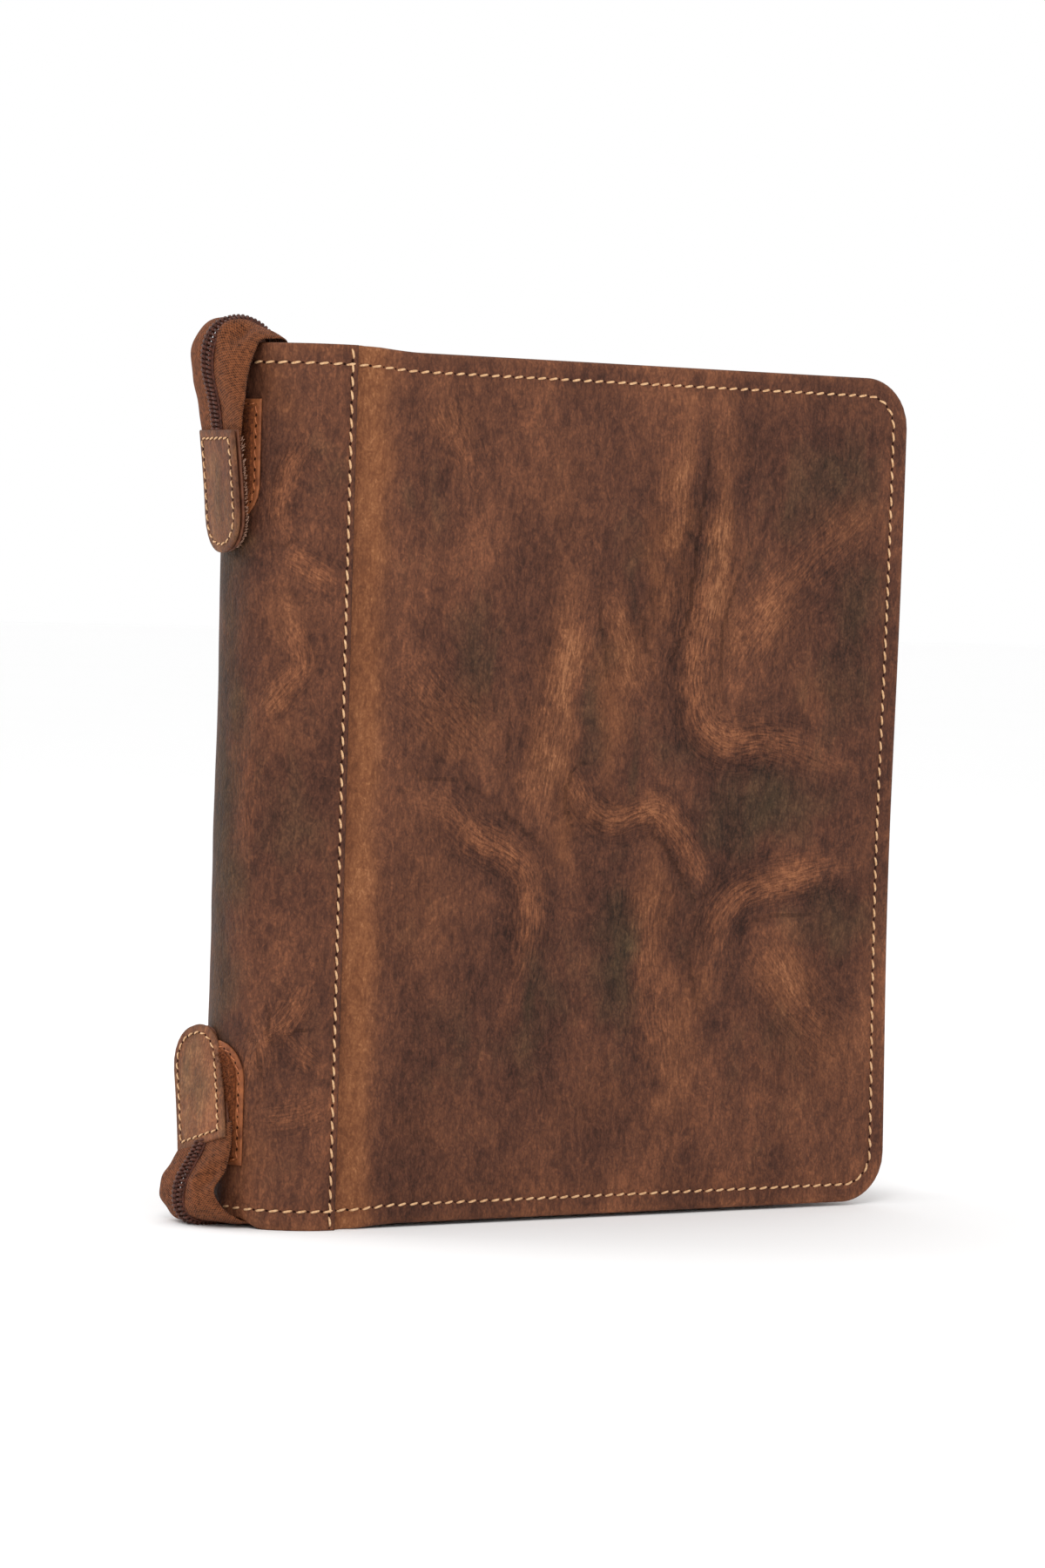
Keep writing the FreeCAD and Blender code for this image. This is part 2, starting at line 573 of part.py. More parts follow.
def upper_fastening():
    anchor("upper", "anchor_x", "bible_end_room + bible_height + anchor_step", "anchor_height")
    inner_leg = "upper_loop_z - bible_end_room - bible_height - tail_step"
    tail("upper", ("anchor_x + tail_wall / 2 - upper_loop_radius", "upper_loop_z"), "upper_loop_radius",
         "upper_loop_z - upper_hinge_z - tail_wall / 2 - tail_clear", inner_leg,
         f"{inner_leg} - anchor_height", "upper_loop_z - upper_hinge_z - tab_gap", 180, -90)
    tab("upper", "upper_hinge_z", "upper_tab_top", -90)
    fastening_pad("upper", "upper_tab_top + upper_pad_shift", -90)


def lower_fastening():
    reach = "anchor_x - lower_loop_x"
    anchor("lower", "anchor_x", "lower_tail_rise + tail_wall / 2", "anchor_height")
    tail("lower", ("lower_loop_x", "lower_loop_z"), "lower_loop_radius", reach,
         "lower_rise_length - tail_wall / 2 - tail_clear", "lower_chain_length",
         f"{reach} - anchor_wall", 135, 0)
    tab("lower", "lower_hinge_z", "lower_tab_low", 90)
    fastening_pad("lower", "lower_tab_low - lower_pad_shift", 90)


cover_leather()
cover_stiffening()
cover_sleeve()
page_board()
zip_halves()
cover_thread()
spine()
spine_thread()
bible_spine()
page_sections()
slider("left", -1)
slider("right", 1)
upper_fastening()
lower_fastening()
doc.recompute()

faulty = [item.Name for item in doc.Objects if {"Invalid", "Error"} & set(item.State)]
for item in PIECES:
    if item.Shape.isNull() or not item.Shape.isValid():
        faulty.append(item.Label)
if faulty:
    raise RuntimeError("these features did not build: " + ", ".join(faulty))

os.makedirs("parts", exist_ok=True)
for item in PIECES:
    item.Shape.exportStep(f"parts/{item.Label}.step")
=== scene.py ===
"""A zip-round leather case that holds a Bible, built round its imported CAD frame."""

import json
import math

import bpy
import numpy as np
from mathutils import Matrix, Vector

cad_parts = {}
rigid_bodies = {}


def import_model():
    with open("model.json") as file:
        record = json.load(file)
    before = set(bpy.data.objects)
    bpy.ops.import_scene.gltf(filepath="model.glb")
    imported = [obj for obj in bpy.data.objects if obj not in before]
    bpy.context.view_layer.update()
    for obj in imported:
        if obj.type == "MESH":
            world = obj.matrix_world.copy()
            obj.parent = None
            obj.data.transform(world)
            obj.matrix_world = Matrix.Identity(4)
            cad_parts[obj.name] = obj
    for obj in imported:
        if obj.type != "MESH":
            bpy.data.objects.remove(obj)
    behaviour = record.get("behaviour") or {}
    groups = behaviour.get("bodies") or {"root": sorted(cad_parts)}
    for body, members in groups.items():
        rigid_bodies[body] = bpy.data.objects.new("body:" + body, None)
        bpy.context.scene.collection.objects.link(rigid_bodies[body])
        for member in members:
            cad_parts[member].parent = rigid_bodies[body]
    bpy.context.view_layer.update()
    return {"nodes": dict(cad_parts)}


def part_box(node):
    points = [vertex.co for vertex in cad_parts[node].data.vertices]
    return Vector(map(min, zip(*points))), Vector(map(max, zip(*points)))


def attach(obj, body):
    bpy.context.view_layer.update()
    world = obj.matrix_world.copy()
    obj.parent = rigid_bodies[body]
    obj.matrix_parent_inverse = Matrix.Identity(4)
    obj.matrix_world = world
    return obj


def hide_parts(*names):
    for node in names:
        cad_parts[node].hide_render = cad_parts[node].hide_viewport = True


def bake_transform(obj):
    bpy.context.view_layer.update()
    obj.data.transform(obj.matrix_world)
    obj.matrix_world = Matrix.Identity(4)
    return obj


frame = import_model()

# ---- sizes, in millimetres, in the case's own frame: X from the spine, Y from the middle, Z up ----

MM = 0.001
spine_low, spine_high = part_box("spine_leather")
cover_low, cover_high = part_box("front_leather")
ORIGIN_X = spine_low[0] / MM
HEIGHT = spine_high[2] / MM
HALF = -cover_low[1] / MM
REACH = cover_high[0] / MM - ORIGIN_X
HINGE_X = 27.0
CORNER = 14.5
STITCH_INSET = 5.4
PITCH = 3.8
COVER_DROP = 1.1
COVER_SKIN = 1.6
LAP_X = 24.0
LAP_SKIN = 0.5
EDGE_SKIN = 0.8
SPINE_SKIN = 1.2
# The seam stitches lie this far in from the spine leather's edges, which lie this far round from its middle.
SEAM_INSET = 1.9
SEAM_RUN = HALF * math.pi / 2 + 0.5
NOTCH_SIDE = 15.0
NOTCH_RISE = 2.6
ZIP_INSET = 6.4
TAPE_SKIN = 0.6
TAPE_STEP = 1.4
CHAIN_EDGE = 3.2
CHAIN_GAP = 0.3
COIL_LIFT = 0.3
TAIL_HALF = 13.0
TAIL_RUN = 58.0
TAIL_SAMPLES = 90
TAIL_COLUMNS = 16
# A tongue's length, half its width and the radius of its round end.
TAB = (34.0, 11.5, 10.5)
TAB_STITCH = 2.4
PAD = (34.0, 11.75, 10.0)
PAD_STITCH = 1.5
PAD_BORDER = 2.6
SECTIONS = 6


def world(points):
    """Case millimetres to frame metres."""
    return (np.asarray(points, float) + (ORIGIN_X, 0, 0)) * MM


def smooth(value, low, high):
    t = np.clip((value - low) / (high - low), 0, 1)
    return t * t * (3 - 2 * t)


def waves(a, b, size, seed, count=10, stretch=1.0):
    """A smooth random field of about unit size; stretch lengthens its marks along b."""
    chance = np.random.default_rng(seed)
    total = np.zeros(np.shape(a))
    for _ in range(count):
        turn = chance.uniform(0, math.pi)
        wave = 2 * math.pi / (size * chance.uniform(0.7, 1.6))
        phase = chance.uniform(0, 2 * math.pi)
        total += np.sin(wave * (a * math.cos(turn) + b * math.sin(turn) / stretch) + phase)
    return total / math.sqrt(count)


def path_run(path):
    """The distance along a path at each of its points."""
    return np.concatenate([[0], np.cumsum(np.linalg.norm(np.diff(path, axis=0), axis=1))])


def along_path(distance, run, values):
    """The values at a distance along a path, whose own points lie at the distances in run."""
    return np.stack([np.interp(distance, run, values[:, k]) for k in range(values.shape[1])], -1)


def evenly(path, samples):
    """Points at even steps along a path."""
    run = path_run(path)
    return along_path(np.linspace(0, run[-1], samples), run, path)


def spline(points, samples):
    """Points along a smooth curve through the given ones, evenly spaced."""
    p = np.asarray(points, float)
    p = np.vstack([2 * p[0] - p[1], p, 2 * p[-1] - p[-2]])
    dense = []
    for i in range(1, len(p) - 2):
        t = np.linspace(0, 1, 24, endpoint=False)[:, None]
        dense.append(0.5 * (2 * p[i] + (p[i + 1] - p[i - 1]) * t
                            + (2 * p[i - 1] - 5 * p[i] + 4 * p[i + 1] - p[i + 2]) * t ** 2
                            + (3 * p[i] - p[i - 1] - 3 * p[i + 1] + p[i + 2]) * t ** 3))
    return evenly(np.vstack(dense + [p[-2][None]]), samples)


def unit(v):
    return v / np.maximum(np.linalg.norm(v, axis=-1, keepdims=True), 1e-9)


# ---- meshes ----

def make_mesh(name, verts, faces, material, attributes=None, slot=None):
    mesh = bpy.data.meshes.new(name)
    mesh.from_pydata(world(verts).tolist(), [], faces)
    mesh.polygons.foreach_set("use_smooth", [True] * len(mesh.polygons))
    for key, values in (attributes or {}).items():
        layer = mesh.attributes.new(key, "FLOAT", "POINT")
        layer.data.foreach_set("value", np.asarray(values, np.float32).ravel())
    mesh.materials.append(material)
    mesh.update()
    item = bpy.data.objects.new(name, mesh)
    bpy.context.collection.objects.link(item)
    return item


def grid_normals(points):
    across = np.gradient(points, axis=1)
    along = np.gradient(points, axis=0)
    return unit(np.cross(across, along))


def thick_sheet(name, points, thick, edge, material, slot, height=0.0, attributes=None, flip=False):
    """A closed sheet under a grid of points, its rim rounded: edge is the distance in from the outline."""
    normals = grid_normals(points) * (-1 if flip else 1)
    thick = np.broadcast_to(thick, edge.shape)
    half = thick / 2
    inside = np.clip(half - edge, 0, half)
    drop = half - np.sqrt(np.maximum(half ** 2 - inside ** 2, 0))
    fade = smooth(edge, 0, 1.5)
    outer = points + normals * (height * fade - drop)[..., None]
    inner = points - normals * (thick - drop)[..., None]
    rows, cols = edge.shape
    index = np.arange(rows * cols).reshape(rows, cols)
    under = index.copy()
    under[1:-1, 1:-1] = np.arange((rows - 2) * (cols - 2)).reshape(rows - 2, cols - 2) + rows * cols
    quads = np.stack([index[:-1, :-1], index[:-1, 1:], index[1:, 1:], index[1:, :-1]], -1).reshape(-1, 4)
    backs = np.stack([under[:-1, :-1], under[1:, :-1], under[1:, 1:], under[:-1, 1:]], -1).reshape(-1, 4)
    faces = np.vstack([quads, backs])[:, ::-1 if flip else 1]
    verts = np.vstack([outer.reshape(-1, 3), inner[1:-1, 1:-1].reshape(-1, 3)])
    full = {key: np.concatenate([value.ravel(), value[1:-1, 1:-1].ravel()])
            for key, value in (attributes or {}).items()}
    return make_mesh(name, verts, faces.tolist(), material, full, slot)


def tube_parts(paths, radii, sides=6, flat=1.0, ups=None):
    """Vertices and faces of closed round-ended tubes along short paths."""
    verts = []
    faces = []
    for number, path in enumerate(paths):
        path = np.asarray(path, float)
        along = unit(np.gradient(path, axis=0))
        up = np.array(ups[number] if ups is not None else (0.0, 0.0, 1.0), float)
        side = unit(np.cross(along, up))
        rise = np.cross(side, along)
        start = len(verts)
        turn = np.linspace(0, 2 * math.pi, sides, endpoint=False)
        for k in range(len(path)):
            r = radii[k] if np.ndim(radii) else radii
            ring = np.cos(turn)[:, None] * side[k] + flat * np.sin(turn)[:, None] * rise[k]
            verts.extend(path[k] + r * ring)
        for k in range(len(path) - 1):
            for j in range(sides):
                a = start + k * sides + j
                b = start + k * sides + (j + 1) % sides
                faces.append((a, b, b + sides, a + sides))
        faces.append(tuple(range(start + sides - 1, start - 1, -1)))
        last = start + (len(path) - 1) * sides
        faces.append(tuple(range(last, last + sides)))
    return np.array(verts), faces


def stitches(name, path, normals, material, pitch=PITCH, size=0.35):
    """Slanted stitches that dip into needle punctures along a path on a surface, with a small dark piece at
    each puncture as painted shade.
    """
    half_length = 0.36
    half_slant = 0.28
    rise = 0.26
    dip = 0.42
    hole_half = 0.42
    run = path_run(path)
    count = max(int(round(run[-1] / pitch)), 1)
    step = run[-1] / count
    chance = np.random.default_rng(len(name) + count)
    share = np.linspace(-1, 1, 6)[:, None]
    threads = []
    ups = []
    hole_shades = []
    for i in range(count):
        middle = (i + 0.5) * step
        spread = np.linspace(-half_length, half_length, 6) * step * chance.uniform(0.94, 1.04)
        centre = along_path(middle + spread, run, path)
        up = unit(along_path(np.array([middle]), run, normals))[0]
        side = np.cross(up, unit(centre[-1] - centre[0]))
        slant = share * (half_slant + chance.uniform(-0.06, 0.06)) * side
        threads.append(centre + slant + (rise - dip * share ** 4) * up)
        ups.append(up)
        # Painted shade: a small dark piece sunk where each stitch goes into the leather.
        place = np.array([i * step - hole_half, i * step, i * step + hole_half])
        hole_shades.append(along_path(place, run, path) - 0.05 * up)
    verts, faces = tube_parts(threads, np.array([0.5, 0.9, 1.0, 1.0, 0.9, 0.5]) * size, 7, 0.8, ups)
    thread = make_mesh(name, verts, faces, material, slot="thread")
    verts, faces = tube_parts(hole_shades, np.array([0.22, 0.46, 0.22]), 6, 0.5, ups)
    hole = make_mesh(f"{name}_holes", verts, faces, HOLE_SHADE, slot="thread")
    hole.parent = thread
    return thread


# ---- materials ----

def srgb(r, g, b):
    def linear(c):
        c /= 255
        return c / 12.92 if c <= 0.04045 else ((c + 0.055) / 1.055) ** 2.4
    return (linear(r), linear(g), linear(b), 1.0)


class Nodes:
    """A short way to write a material's nodes."""

    def __init__(self, name, roughness, specular=0.5, metallic=0.0, sheen=0.0):
        self.material = bpy.data.materials.new(name)
        self.material.use_nodes = True
        self.tree = self.material.node_tree
        self.shader = self.tree.nodes["Principled BSDF"]
        for key, value in (("Roughness", roughness), ("Specular IOR Level", specular),
                           ("Metallic", metallic), ("Sheen Weight", sheen)):
            self.shader.inputs[key].default_value = value
        self.space = self.add("ShaderNodeTexCoord").outputs["Object"]

    def add(self, kind, sources=(), **settings):
        node = self.tree.nodes.new(kind)
        for key, value in settings.items():
            setattr(node, key, value)
        for key, source in dict(sources).items():
            self.link(source, node.inputs[key])
        return node

    def link(self, source, socket):
        if isinstance(source, (int, float, tuple)):
            socket.default_value = source
        elif source is not None:
            self.tree.links.new(source, socket)

    def attribute(self, name):
        return self.add("ShaderNodeAttribute", attribute_name=name).outputs["Fac"]

    def math(self, operation, a, b=0.0, c=0.0):
        node = self.add("ShaderNodeMath", operation=operation)
        for socket, value in zip(node.inputs, (a, b, c)):
            self.link(value, socket)
        return node.outputs[0]

    def scaled(self, value, amount, start=0.0):
        return self.math("MULTIPLY_ADD", value, amount, start)

    def stretched(self, scale):
        return self.add("ShaderNodeMapping", {"Scale": scale, "Vector": self.space}).outputs[0]

    def noise(self, scale, detail=3.0, rough=0.55, vector=None, distortion=0.0):
        sources = {"Vector": vector or self.space, "Scale": scale, "Detail": detail, "Roughness": rough,
                   "Distortion": distortion}
        return self.add("ShaderNodeTexNoise", sources).outputs["Fac"]

    def lines(self, scale, stretch, width):
        """Thin wandering lines, where a noise passes its middle value; stretch below 1 draws them upright."""
        value = self.noise(scale, 3, 0.6, self.stretched((1, 1, stretch)), 0.9)
        away = self.math("ABSOLUTE", self.math("SUBTRACT", value, 0.5))
        return self.math("SUBTRACT", 1.0, self.math("MINIMUM", self.math("MULTIPLY", away, width), 1.0))

    def cells(self, scale, vector=None, feature="F1"):
        sources = {"Vector": vector or self.space, "Scale": scale}
        return self.add("ShaderNodeTexVoronoi", sources, feature=feature).outputs["Distance"]

    def ramp(self, value, stops):
        node = self.add("ShaderNodeValToRGB")
        while len(node.color_ramp.elements) < len(stops):
            node.color_ramp.elements.new(0.5)
        for element, (place, colour) in zip(node.color_ramp.elements, stops):
            element.position = place
            element.color = colour
        self.link(value, node.inputs["Fac"])
        return node.outputs["Color"]

    def mix(self, amount, first, second):
        """The first colour at 0 and below, the second at 1 and above."""
        sources = {"Factor": amount, "A": first, "B": second}
        return self.add("ShaderNodeMix", sources, data_type="RGBA").outputs["Result"]

    def bump(self, height, distance, strength=1.0, normal=None):
        sources = {"Strength": strength, "Distance": distance, "Height": height, "Normal": normal}
        return self.add("ShaderNodeBump", sources).outputs["Normal"]

    def finish(self, colour, normal=None, roughness=None):
        for key, source in (("Base Color", colour), ("Normal", normal), ("Roughness", roughness)):
            self.link(source, self.shader.inputs[key])
        return self.material


BROWN = ((0.05, srgb(44, 24, 17)), (0.3, srgb(76, 45, 33)), (0.5, srgb(99, 60, 42)),
         (0.7, srgb(127, 78, 53)), (0.95, srgb(160, 103, 69)))
OLIVE = ((0.05, srgb(40, 30, 20)), (0.3, srgb(66, 50, 34)), (0.5, srgb(88, 68, 47)),
         (0.7, srgb(112, 85, 58)), (0.95, srgb(152, 116, 80)))
WARM = ((0.05, srgb(74, 42, 26)), (0.4, srgb(114, 68, 42)), (0.6, srgb(136, 86, 54)),
        (0.95, srgb(190, 134, 92)))


def oiled_leather(name, tan=0.0, shift=0.0):
    """Oiled leather: mottled, paler where it is pulled, with fine creases that follow its folds."""
    n = Nodes(name, 0.6, 0.14)
    broad = n.noise(26, 3, 0.6, n.stretched((1, 1, 0.55)), 0.6)
    patch = n.noise(95, 4, 0.6, n.stretched((1, 1, 0.6)), 0.8)
    fine = n.noise(420, 4, 0.65, n.stretched((1, 1, 0.7)))
    fibre = n.noise(900, 3, 0.6, n.stretched((1.6, 1.6, 0.35)))
    sources = {"X": n.attribute("fold_across"), "Y": n.attribute("fold_along")}
    creases = n.noise(1.0, 4, 0.6, n.add("ShaderNodeCombineXYZ", sources).outputs[0], 0.3)
    tone = n.math("ADD", n.attribute("tone"), shift)
    pores = n.cells(980, n.stretched((1, 1, 0.75)), "DISTANCE_TO_EDGE")
    pores = n.math("MINIMUM", n.scaled(pores, 3.5), 1.0)
    for value, amount in ((broad, 0.4), (patch, 0.34), (fine, 0.34), (fibre, 0.3), (pores, 0.1)):
        tone = n.scaled(n.math("SUBTRACT", value, 0.5), amount, tone)
    for scale, stretch, width, amount in ((210, 0.42, 15.0, 0.11), (430, 0.5, 9.0, 0.14)):
        tone = n.scaled(n.lines(scale, stretch, width), amount, tone)
    crease = n.scaled(n.math("SUBTRACT", creases, 0.5), n.attribute("fold"))
    tone = n.scaled(crease, 1.25, tone)
    amount = n.scaled(n.math("SUBTRACT", patch, 0.5), 1.2, n.attribute("olive"))
    colour = n.mix(amount, n.ramp(tone, BROWN), n.ramp(tone, OLIVE))
    colour = n.mix(n.math("ADD", n.attribute("tan"), tan), colour, n.ramp(tone, WARM))
    grain = n.cells(760, n.stretched((1, 1, 0.8)), "SMOOTH_F1")
    normal = n.bump(n.math("ADD", grain, n.scaled(fine, 0.8)), 0.00022, 0.55)
    normal = n.bump(crease, 0.0012, 1.0, normal)
    normal = n.bump(pores, 0.00012, 0.6, normal)
    normal = n.bump(patch, 0.0012, 0.35, normal)
    roughness = n.scaled(fine, 0.25, 0.47)
    return n.finish(colour, normal, roughness)


def plain_leather(name, dark, light, rough=0.6, scale=300, grain=900):
    """Leather of one colour, with a fine grain."""
    n = Nodes(name, rough, 0.2)
    tone = n.noise(scale, 4, 0.6, None, 0.4)
    colour = n.ramp(tone, ((0.3, dark), (0.7, light)))
    height = n.math("ADD", n.cells(grain, None, "SMOOTH_F1"), n.noise(grain * 1.6, 3))
    return n.finish(colour, n.bump(height, 0.0002, 0.5), n.scaled(tone, 0.2, rough - 0.1))


def woven(name, dark, light):
    """Ribbed zip tape: a small check of warp and weft, under a fuzz."""
    warp = 1.05
    weft = 0.84
    n = Nodes(name, 0.85, 0.12, sheen=0.04)
    across = n.math("SINE", n.scaled(n.attribute("tape_across"), 2 * math.pi / warp))
    along = n.math("SINE", n.scaled(n.attribute("tape_along"), 2 * math.pi / weft))
    fuzz = n.noise(1500, 3, 0.7)
    weave = n.math("ADD", n.scaled(across, along), n.scaled(fuzz, 1.6))
    speckle = n.noise(950, 2, 0.6)
    shade = n.scaled(weave, 0.26, n.scaled(speckle, 1.2, -0.32))
    colour = n.ramp(shade, ((0.1, dark), (0.75, light)))
    return n.finish(colour, n.bump(weave, 0.0003, 0.8))


def cloth(name, dark, light, size=0.0009):
    """Plain woven cloth: two crossed bands of threads, each size metres wide."""
    n = Nodes(name, 0.9, 0.2, sheen=0.2)
    sources = {"Vector": n.space, "Scale": 0.314 / size, "Distortion": 1.5}
    waves_x = n.add("ShaderNodeTexWave", sources, wave_type="BANDS", bands_direction="X")
    waves_z = n.add("ShaderNodeTexWave", sources, wave_type="BANDS", bands_direction="Z")
    weave = n.scaled(waves_x.outputs["Fac"], waves_z.outputs["Fac"])
    shade = n.scaled(n.noise(90, 4), 0.5, n.scaled(weave, 0.5))
    return n.finish(n.ramp(shade, ((0.2, dark), (0.8, light))), n.bump(weave, 0.00015, 0.6))


def mottled(name, dark, light, rough, scale=200, specular=0.5, metallic=0.0, depth=0.0001, sheen=0.0):
    """A slightly uneven colour between two shades, with a fine bump."""
    n = Nodes(name, rough, specular, metallic, sheen)
    tone = n.noise(scale, 4, 0.6)
    return n.finish(n.ramp(tone, ((0.3, dark), (0.7, light))), n.bump(n.noise(scale * 6, 3), depth, 0.5),
                    n.scaled(tone, 0.25, rough - 0.12))


def page_paper():
    """Cut page edges: fine leaves that run with the block, with a slightly uneven cream colour."""
    n = Nodes("page_paper", 0.8, 0.2)
    leaves = n.noise(1.0, 3, 0.7, n.stretched((25, 9000, 25)))
    tone = n.scaled(n.noise(60, 3), 0.12, n.scaled(leaves, 0.6, 0.14))
    colour = n.ramp(tone, ((0.25, srgb(176, 160, 128)), (0.6, srgb(228, 216, 188))))
    return n.finish(colour, n.bump(leaves, 0.0003, 0.7))


LEATHER = oiled_leather("oiled_leather")
TAB_LEATHER = oiled_leather("tab_leather", -0.05, 0.12)
EDGE_LEATHER = plain_leather("split_leather", srgb(70, 38, 26), srgb(118, 72, 50))
PAD_LEATHER = plain_leather("pad_leather", srgb(98, 52, 30), srgb(156, 92, 54), 0.55)
TAPE = woven("zip_tape", srgb(50, 24, 12), srgb(144, 84, 50))
CHAIN = mottled("zip_coil", srgb(44, 20, 12), srgb(96, 52, 38), 0.45, 900, 0.2)
THREAD = mottled("thread", srgb(188, 138, 94), srgb(230, 190, 146), 0.6, 1500, 0.3)
# Painted shade where the stitches go into the leather.
HOLE_SHADE = mottled("needle_hole_shade", srgb(24, 10, 6), srgb(50, 23, 13), 0.9, 900, 0.1)
PAD_THREAD = mottled("pad_thread", srgb(140, 74, 40), srgb(196, 116, 66), 0.6, 1500)
HOOK_TIP = mottled("hook_tips", srgb(128, 86, 66), srgb(186, 148, 126), 0.5, 1500, 0.3)
HOOK = mottled("hook_strip", srgb(58, 30, 20), srgb(98, 58, 40), 0.8, 1800, 0.1, depth=0.0003)
PILE = mottled("loop_pile", srgb(62, 28, 14), srgb(138, 76, 42), 0.9, 1400, 0.1, depth=0.0004, sheen=0.03)
BOARD = mottled("grey_board", srgb(112, 98, 78), srgb(140, 124, 100), 0.9, 500)
LINING = cloth("lining", srgb(46, 30, 24), srgb(78, 54, 42))
BIBLE = plain_leather("bible_cover", srgb(18, 15, 15), srgb(44, 38, 37), 0.5, 120, 1300)
MULL = cloth("mull", srgb(186, 176, 150), srgb(222, 214, 192), 0.0014)
METAL = mottled("aged_brass", srgb(96, 72, 40), srgb(156, 122, 74), 0.38, 500, 0.5, 0.9)
PAPER = page_paper()


# ---- leather marks ----
# Each fold is a curve on the leather, its width and its height. Each patch is a centre, two radii and an
# amount. Places are across from the spine and up, in millimetres.

FRONT_FOLDS = (
    (((46, 121), (58, 117), (66, 110), (76, 105), (83, 99), (85, 90), (84, 76), (80, 58)), 3.4, 0.75),
    (((90, 133), (98, 127), (104, 118), (112, 114), (120, 116), (127, 117), (134, 111), (140, 102),
      (149, 88)), 2.8, 0.8),
    (((148, 232), (146, 205), (141, 176), (138, 156), (141, 142), (150, 136), (163, 137), (178, 134),
      (197, 127)), 3.8, 0.85),
    (((146, 62), (148, 80), (152, 89), (160, 94), (176, 97), (198, 101)), 3.6, 0.8),
    (((101, 188), (96, 165), (92, 145), (88, 125), (85, 106)), 5.0, 0.45),
    (((131, 236), (131, 205), (131, 175), (127, 152)), 4.2, 0.4),
    (((108, 182), (114, 166), (118, 154), (124, 146)), 2.6, 0.35),
    (((128, 112), (126, 92), (126, 72), (130, 48), (134, 26)), 5.0, 0.3),
    (((202, 213), (188, 199), (174, 186), (160, 170), (147, 150)), 6.0, 0.35),
    (((40, 160), (50, 150), (60, 141), (70, 132)), 6.0, 0.25),
    (((50, 234), (57, 222), (63, 208)), 4.0, 0.25),
    (((158, 82), (168, 72), (180, 58), (196, 44)), 6.0, 0.25),
)
BACK_FOLDS = (
    (((60, 190), (72, 176), (78, 160), (92, 150), (110, 152)), 3.6, 0.7),
    (((196, 176), (176, 168), (160, 158), (150, 140), (152, 118)), 3.8, 0.75),
    (((70, 60), (84, 78), (100, 86), (122, 84), (140, 74)), 3.4, 0.65),
    (((112, 232), (114, 204), (108, 178)), 4.5, 0.4),
    (((170, 30), (174, 56), (186, 78), (198, 90)), 4.2, 0.4),
    (((44, 130), (56, 118), (60, 100)), 4.0, 0.35),
    (((118, 130), (124, 108), (120, 30)), 5.0, 0.25),
)
SPINE_FOLDS = (
    (((20, 172), (14, 158), (19, 150), (27, 140)), 2.4, 0.5),
    (((12, 222), (19, 210), (21, 196), (16, 188)), 2.2, 0.5),
    (((4, 44), (12, 50), (20, 60)), 2.0, 0.4),
    (((22, 188), (14, 184), (4, 178)), 2.2, 0.4),
    (((8, 72), (16, 58), (24, 50), (27, 34)), 2.4, 0.55),
    (((27, 62), (22, 52), (20, 40)), 2.2, 0.25),
    (((2, 36), (12, 32), (24, 30)), 2.4, 0.25),
    (((29, 138), (30, 120), (28, 104)), 2.4, 0.25),
    (((-14, 190), (-22, 168), (-20, 140)), 3.0, 0.3),
    (((-24, 110), (-14, 92), (-16, 66)), 3.0, 0.3),
)
FRONT_DARK = (
    (65, 158, 11, 19, 0.8), (186, 216, 18, 13, 0.9), (170, 198, 13, 13, 0.5), (193, 176, 10, 20, 0.8),
    (167, 121, 24, 13, 1.0), (151, 109, 12, 11, 0.7), (188, 86, 16, 12, 0.9), (112, 78, 8, 22, 0.9),
    (104, 147, 6, 20, 0.8), (62, 52, 10, 16, 0.6), (92, 62, 8, 20, 0.5), (172, 52, 10, 12, 0.6),
    (140, 78, 5, 14, 0.5), (120, 190, 9, 20, 0.4), (50, 206, 12, 10, 0.35), (135, 138, 10, 8, 0.6),
    (190, 150, 14, 9, 0.5), (118, 128, 3.5, 17, 0.8), (140, 196, 3, 26, 0.6), (117, 176, 3, 16, 0.6),
    (84, 64, 5, 22, 0.6), (118, 70, 5, 26, 0.6), (156, 40, 5, 22, 0.4),
)
FRONT_TAN = (
    (111, 148, 5, 26, 0.9), (124, 186, 4, 24, 0.8), (98, 112, 4, 13, 0.8), (94, 150, 6, 34, 0.6),
    (134, 200, 3.5, 32, 0.7), (147, 192, 4, 34, 0.7), (140, 60, 5, 18, 0.5), (60, 140, 12, 9, 0.5),
    (186, 44, 18, 14, 0.45), (176, 68, 10, 12, 0.5), (50, 90, 12, 22, 0.35), (127, 92, 6, 22, 0.5),
    (190, 202, 9, 7, 0.5), (165, 172, 12, 9, 0.35), (52, 26, 14, 12, 0.3), (92, 206, 10, 12, 0.25),
    (180, 152, 10, 6, 0.35), (86, 134, 6, 16, 0.4), (110, 32, 16, 8, 0.3), (56, 228, 10, 8, 0.3),
    (134, 40, 6, 16, 0.4),
)
BACK_DARK = (
    (90, 200, 20, 14, 0.8), (170, 200, 14, 20, 0.7), (120, 110, 22, 14, 0.9), (60, 90, 12, 22, 0.7),
    (180, 60, 16, 18, 0.8), (100, 40, 18, 10, 0.6), (190, 130, 12, 12, 0.6),
)
BACK_TAN = (
    (60, 170, 14, 10, 0.4), (150, 90, 12, 20, 0.4), (120, 180, 10, 20, 0.35), (80, 130, 12, 12, 0.3),
    (190, 30, 14, 12, 0.4),
)
SPINE_DARK = (
    (41, 120, 11, 60, 1.1), (41, 200, 10, 30, 1.0), (43, 40, 10, 30, 0.8), (16, 110, 10, 22, 0.5),
    (8, 210, 8, 12, 0.4), (-20, 130, 12, 50, 0.7), (12, 60, 8, 10, 0.4), (-30, 60, 10, 24, 0.6),
)
SPINE_TAN = (
    (24, 234, 7, 8, 0.7), (22, 172, 9, 8, 0.4), (26, 22, 9, 9, 0.4), (20, 140, 6, 12, 0.3),
    (-12, 200, 10, 14, 0.4),
)


